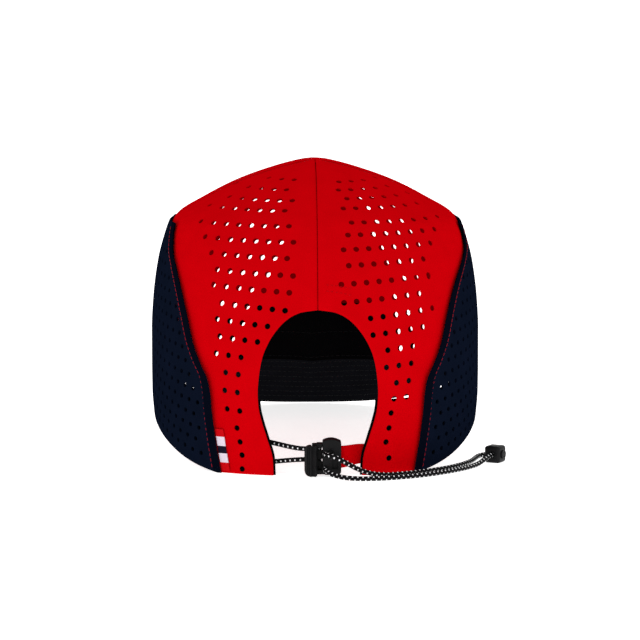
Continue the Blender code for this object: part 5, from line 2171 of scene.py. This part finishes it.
@dataclass
class Buckle:
    """Clasp: an arched block with two cheeks, a ribbed lever hinged between them, and the strap's tab."""

    finishes: Finishes
    rear: float = -88.0 * MM + CROWN.centre_y
    depth: float = 8.0 * MM
    left: float = 2.2 * MM
    right: float = 11.5 * MM
    foot: float = 1.2 * MM
    top: float = 19.2 * MM
    corner: float = 2.0 * MM
    rounding: float = 0.8 * MM
    arch_rise: float = 2.4 * MM
    arch_start: float = 0.12
    arch_sweep: float = 0.70
    hinge_x: float = -1.5 * MM
    hinge_y: float = -83.8 * MM + CROWN.centre_y
    barrel: float = 1.55 * MM
    low_cheek: tuple[float, float] = (1.2 * MM, 3.2 * MM)
    high_cheek: tuple[float, float] = (14.7 * MM, 16.7 * MM)
    cheek_root: float = 3.2 * MM
    wall_left: float = -0.6 * MM
    wall_rear: float = -81.95 * MM + CROWN.centre_y
    wall_front: float = -80.1 * MM + CROWN.centre_y
    cord_bore: float = 1.45 * MM
    cord_bore_x: float = 0.6 * MM
    cord_bore_length: float = 3.4 * MM
    pin: float = 0.7 * MM
    pin_hole: float = 1.0 * MM
    pin_reach: float = 3.0 * MM
    recess: tuple[float, float, float, float] = (6.9 * MM, 9.9 * MM, 4.4 * MM, 8.8 * MM)
    recess_depth: float = 1.2 * MM
    ring_place: tuple[float, float] = (6.1 * MM, 12.8 * MM)
    ring_radius: float = 1.75 * MM
    ring_thickness: float = 0.35 * MM
    ring_bore: float = 1.3 * MM
    ring_bore_length: float = 2.4 * MM
    exit_x: float = 3.5 * MM
    exit_heights: tuple[float, float] = (12.0 * MM, 4.5 * MM)
    exit_sink: float = 0.1 * MM
    exit_radius: float = 1.25 * MM
    exit_thickness: float = 0.42 * MM
    lever_x: tuple[float, float] = (-6.8 * MM, -0.4 * MM)
    lever_z: tuple[float, float] = (0.5 * MM, 15.9 * MM)
    lever_front: float = -83.2 * MM + CROWN.centre_y
    lever_rounding: float = 0.35 * MM
    lever_corners: tuple[float, float, float, float] = (3.2 * MM, 1.0 * MM, 1.2 * MM, 2.6 * MM)
    plate_right: float = -3.35 * MM
    pad_thickness: float = 1.3 * MM
    ribs: int = 3
    rib_height: float = 0.7 * MM
    web_left: float = -4.35 * MM
    web_half: float = 0.9 * MM
    web_gap: float = 0.3 * MM
    tab_y: float = -83.6 * MM + CROWN.centre_y
    tab_middle: float = 9.8 * MM
    tab_height: float = 11.0 * MM
    tab_thickness: float = 1.3 * MM
    tab_start_x: float = 10.0 * MM
    tab_bend_x: float = 12.5 * MM
    tab_end_x: float = 27.0 * MM
    tab_inset: float = 1.5 * MM
    tab_clearance: float = 0.9 * MM
    tab_narrowing: float = 1.2 * MM
    tab_taper: tuple[float, float] = (11.0 * MM, 20.0 * MM)
    slot_left: float = 9.7 * MM
    slot_gap: float = 0.3 * MM
    stitch: Stitch = Stitch(2.2 * MM, 0.5 * MM, 0.13 * MM)
    stitch_rows: tuple[int, int] = (3, -4)
    stitch_start: int = 5

    def build(self) -> list[Piece]:
        """Makes the block, the lever and the tab."""
        return [self.body(), self.lever(), *self.tab()]

    def block(self) -> Moulding:
        """The block itself: round lower corners and an arched top that is lower on the right.

        Returns:
            The block, for further shaping.
        """
        low = self.foot + self.corner
        outline = [*arc((self.left + self.corner, low), self.corner, 180.0),
                   *arc((self.right - self.corner, low), self.corner, 270.0)]
        for share in np.linspace(0.0, 1.0, 17):
            arch = math.sin(math.pi * (self.arch_start + self.arch_sweep * share))
            x = self.right + (self.left - self.right) * share
            outline.append((x, self.top - self.arch_rise * (1.0 - arch)))
        work = Moulding(prism("clasp_body_moulding", outline, self.rear, self.rear + self.depth, "Y"))
        work.round_edges(self.rounding, 4)
        return work

    def body(self) -> Piece:
        """The block with its cheeks, back wall, bores, recess, ring, the cord exits' collars and its slot.

        Returns:
            The block, complete.
        """
        work, hinge = self.block(), (self.hinge_x, self.hinge_y)
        root = [(self.cheek_root, self.hinge_y - self.barrel), (self.cheek_root, self.hinge_y + self.barrel)]
        cheek = [*root, *arc(hinge, self.barrel, 90.0, 180.0, 15)]
        back = box(self.wall_left, self.cheek_root, self.wall_rear, self.wall_front)
        work.combine("UNION", *(prism("cheek", cheek, *span) for span in (self.low_cheek, self.high_cheek)),
                     prism("back_wall", back, self.low_cheek[0], self.high_cheek[1]))
        ring_x, ring_z = self.ring_place
        ring = (ring_x, self.rear, ring_z)
        work.combine(
            "DIFFERENCE",
            *(rod_tool(self.cord_bore, (self.cord_bore_x, CordSet.held_y, z), "X", self.cord_bore_length)
              for z in CordSet.held_heights),
            *(rod_tool(self.pin_hole, (*hinge, z), "Z", self.pin_reach)
              for z in (self.low_cheek[1], self.high_cheek[0])),
            prism("recess", box(*self.recess), self.rear - 1.0 * MM, self.rear + self.recess_depth, "Y"))
        work.combine("UNION", ring_tool(self.ring_radius, self.ring_thickness, ring, "Y"))
        work.combine("DIFFERENCE", rod_tool(self.ring_bore, ring, "Y", self.ring_bore_length))
        work.combine("UNION", *(ring_tool(self.exit_radius, self.exit_thickness,
                                          (self.exit_x, self.rear - self.exit_sink, z), "Y")
                                for z in self.exit_heights))
        half, rise = (0.5 * size + self.slot_gap for size in (self.tab_thickness, self.tab_height))
        slot = box(self.slot_left, self.tab_bend_x, self.tab_y - half, self.tab_y + half)
        work.combine("DIFFERENCE", prism("slot", slot, self.tab_middle - rise, self.tab_middle + rise))
        return work.finish(self.finishes.plastic, "black_plastic", "buckle_body")

    def lever_face(self) -> Piece:
        """A tool with the lever's face: a rectangle with four unlike round corners.

        Returns:
            The tool.
        """
        (left, right), (low, high) = self.lever_x, self.lever_z
        face = []
        for k, (x, z) in enumerate(box(left, right, low, high)):
            radius = self.lever_corners[k]
            centre = (x + radius * (1 if x == left else -1), z + radius * (1 if z == low else -1))
            face += arc(centre, radius, (180.0 + 90.0 * k) % 360.0)
        return prism("lever_face", face, self.rear - 2.0 * MM, self.lever_front + 1.0 * MM, "Y")

    def lever(self) -> Piece:
        """The ribbed thumb pad, its plate, web, barrel and pin.

        Returns:
            The lever.
        """
        left, right = self.lever_x
        outline = [(self.plate_right, self.lever_front), (left, self.lever_front)]
        for share in np.linspace(0.0, 1.0, 16 * self.ribs + 1):
            wave = 0.5 - 0.5 * math.cos(2 * math.pi * self.ribs * share)
            outline.append((left + (right - left) * share, self.rear - self.rib_height * wave))
        pad_front = self.rear + self.pad_thickness
        outline += [(right, pad_front), (self.plate_right, pad_front)]
        work = Moulding(prism("clasp_lever_moulding", outline, *self.lever_z))
        work.combine("INTERSECT", self.lever_face())
        work.round_edges(self.lever_rounding, 3)
        low, high = self.low_cheek[1] + self.web_gap, self.high_cheek[0] - self.web_gap
        web = box(self.web_left, self.hinge_x, self.hinge_y - self.web_half, self.hinge_y + self.web_half)
        middle = (self.hinge_x, self.hinge_y, 0.5 * (low + high))
        work.combine("UNION", prism("web", web, low, high), rod_tool(self.barrel, middle, "Z", high - low),
                     rod_tool(self.pin, middle, "Z", high - low + self.pin_reach))
        return work.finish(self.finishes.plastic, "black_plastic", "buckle_lever", body="lever")

    def tab(self) -> list[Piece]:
        """Red strap from the clasp to the inside of the right rear panel.

        Returns:
            The strap and its stitching.
        """
        edge = float(CROWN.arch_half_width(self.tab_middle)) - Sweatband.overhang - self.tab_inset
        xs = np.linspace(edge, self.tab_end_x, 5)
        ys = CROWN.depth_at(xs, self.tab_middle, True, Sweatband.lift - Sweatband.thickness)
        ys = ys + self.tab_clearance + 0.5 * self.tab_thickness
        start = [(x, self.tab_y, 0.0) for x in (self.tab_start_x, self.tab_bend_x)]
        path = smooth_route([*start, *((x, y, 0.0) for x, y in zip(xs, ys))], 0.5 * MM)
        taper_start, taper_end = self.tab_taper
        taper = np.clip((path[:, 0] - taper_start) / (taper_end - taper_start), 0.0, 1.0)
        rows = []
        for share in np.linspace(0.0, 1.0, 23):
            z = self.tab_middle + self.tab_height * (share - 0.5) + self.tab_narrowing * taper * (1.0 - share)
            rows.append(np.stack([path[:, 0], path[:, 1], z], axis=1))
        piece = sheet_object("strap_tab_cloth", np.array(rows), self.finishes.red, self.tab_thickness, 0.0)
        line = StitchLine("strap_tab_stitching", self.finishes.red_thread, self.stitch)
        for row in self.stitch_rows:
            seam = rows[row][self.stitch_start:] - (0.0, 0.5 * self.tab_thickness, 0.0)
            line.along(seam, np.tile((0.0, -1.0, 0.0), (len(seam), 1)))
        return [settle(piece, "red_cloth", "strap_tab"), line.make("red_cloth")]


@dataclass
class SeamTag:
    """Narrow striped ribbon sewn in along the left seam."""

    finishes: Finishes
    foot: float = 1.2 * MM
    length: float = 21.0 * MM
    width: float = 4.0 * MM
    seam_gap: float = 0.5 * MM
    lift: float = 0.8 * MM
    thickness: float = 0.5 * MM

    def build(self) -> list[Piece]:
        """Lays the ribbon on the red cloth.

        Returns:
            The pieces.
        """
        rows = []
        for z in np.linspace(self.foot, self.foot + self.length, 40):
            edge = CROWN.rear_seam(z / CROWN.height) * CROWN.lapped_half_width - self.seam_gap
            x = np.linspace(edge, edge - self.width, 10)
            rows.append(np.stack([-x, CROWN.depth_at(x, z, True, self.lift), np.full_like(x, z)], axis=1))
        piece = sheet_object("seam_tag_ribbon", np.array(rows), self.finishes.ribbon, self.thickness)
        return [settle(piece, "white_ribbon", "seam_tag")]


@dataclass(frozen=True)
class PhotoCamera:
    """The photograph's camera: its angles in degrees, its distance, what it looks at and its lens."""

    azimuth: float = -1.1
    elevation: float = 7.1
    distance: float = 2.0
    aim: tuple[float, float, float] = (2.6 * MM, -41.0 * MM, 68.0 * MM)
    lens_mm: float = 217.5
    sensor_mm: float = 36.0
    clip_end: float = 20.0

    def place(self) -> tuple[Array, Array]:
        """Place of the camera, and the direction from what it looks at back to it."""
        azimuth, elevation = math.radians(self.azimuth), math.radians(self.elevation)
        away = np.array([math.sin(azimuth) * math.cos(elevation), -math.cos(azimuth) * math.cos(elevation),
                         math.sin(elevation)])
        return np.array(self.aim) + away * self.distance, away

    def build(self) -> None:
        """Sets the camera up as the scene's own."""
        data = bpy.data.cameras.new("photo_camera")
        data.sensor_width, data.lens, data.clip_end = self.sensor_mm, self.lens_mm, self.clip_end
        camera = linked("photo_camera", data)
        camera.location, away = self.place()
        camera.rotation_euler = (-Vector(away)).to_track_quat("-Z", "Y").to_euler()
        bpy.context.scene.camera = camera


@dataclass(frozen=True)
class Lamp:
    """One square soft lamp: its place, its size, its power and the height on the cap that it points at."""

    name: str
    place: tuple[float, float, float]
    size: float
    power: float
    aim_height: float = 0.06

    def build(self) -> None:
        """Hangs the lamp."""
        data = bpy.data.lights.new(self.name, "AREA")
        data.size, data.energy = self.size, self.power
        lamp = linked(self.name, data)
        lamp.location = self.place
        towards = Vector((0.0, CROWN.centre_y, self.aim_height)) - Vector(self.place)
        lamp.rotation_euler = towards.to_track_quat("-Z", "Y").to_euler()


@dataclass
class Studio:
    """White floor, white surround, soft lamps and the photograph's camera."""

    surround: float = 0.92
    floor_size: float = 12.0
    floor_drop: float = 0.05 * MM
    lamps: tuple[Lamp, ...] = (
        Lamp("key", (-0.9, -1.5, 1.3), 1.2, 2.8),
        Lamp("fill", (1.1, -1.4, 0.9), 1.2, 2.0),
        Lamp("top", (0.0, 0.2, 1.7), 1.4, 2.4),
    )

    def build(self) -> None:
        """Sets up everything that isn't the cap."""
        PhotoCamera().build()
        bpy.ops.mesh.primitive_plane_add(size=self.floor_size, location=(0.0, 0.0, -self.floor_drop))
        floor = bpy.context.active_object
        floor.name = "studio_floor"
        floor.data.materials.append(PaleFloor().make())
        world = bpy.data.worlds.new("white_surround")
        world.use_nodes = True
        background = world.node_tree.nodes["Background"]
        background.inputs["Color"].default_value = srgb("FFFFFF")
        background.inputs["Strength"].default_value = self.surround
        bpy.context.scene.world = world
        for lamp in self.lamps:
            lamp.build()
        view = bpy.context.scene.view_settings
        view.view_transform, view.look, view.exposure, view.gamma = "Standard", "None", 0.0, 1.0


def main() -> None:
    """Dresses the cap."""
    logging.basicConfig(level=logging.INFO, format="%(name)s: %(message)s")
    Studio().build()
    finishes = Finishes()
    rear_panels = [RearPanel(side, finishes) for side in Side]
    front = FrontPanel(finishes, rear_panels)
    assemblies = (CordSet(finishes), *rear_panels, *(SidePanel(side, finishes) for side in Side), front,
                  SeamTape(finishes), Visor(finishes), Sweatband(finishes, front), Buckle(finishes),
                  SeamTag(finishes))
    for assembly in assemblies:
        for piece in assembly.build():
            LOG.info("%s: %d faces", piece.name, len(piece.data.polygons))


if __name__ == "__main__":
    main()
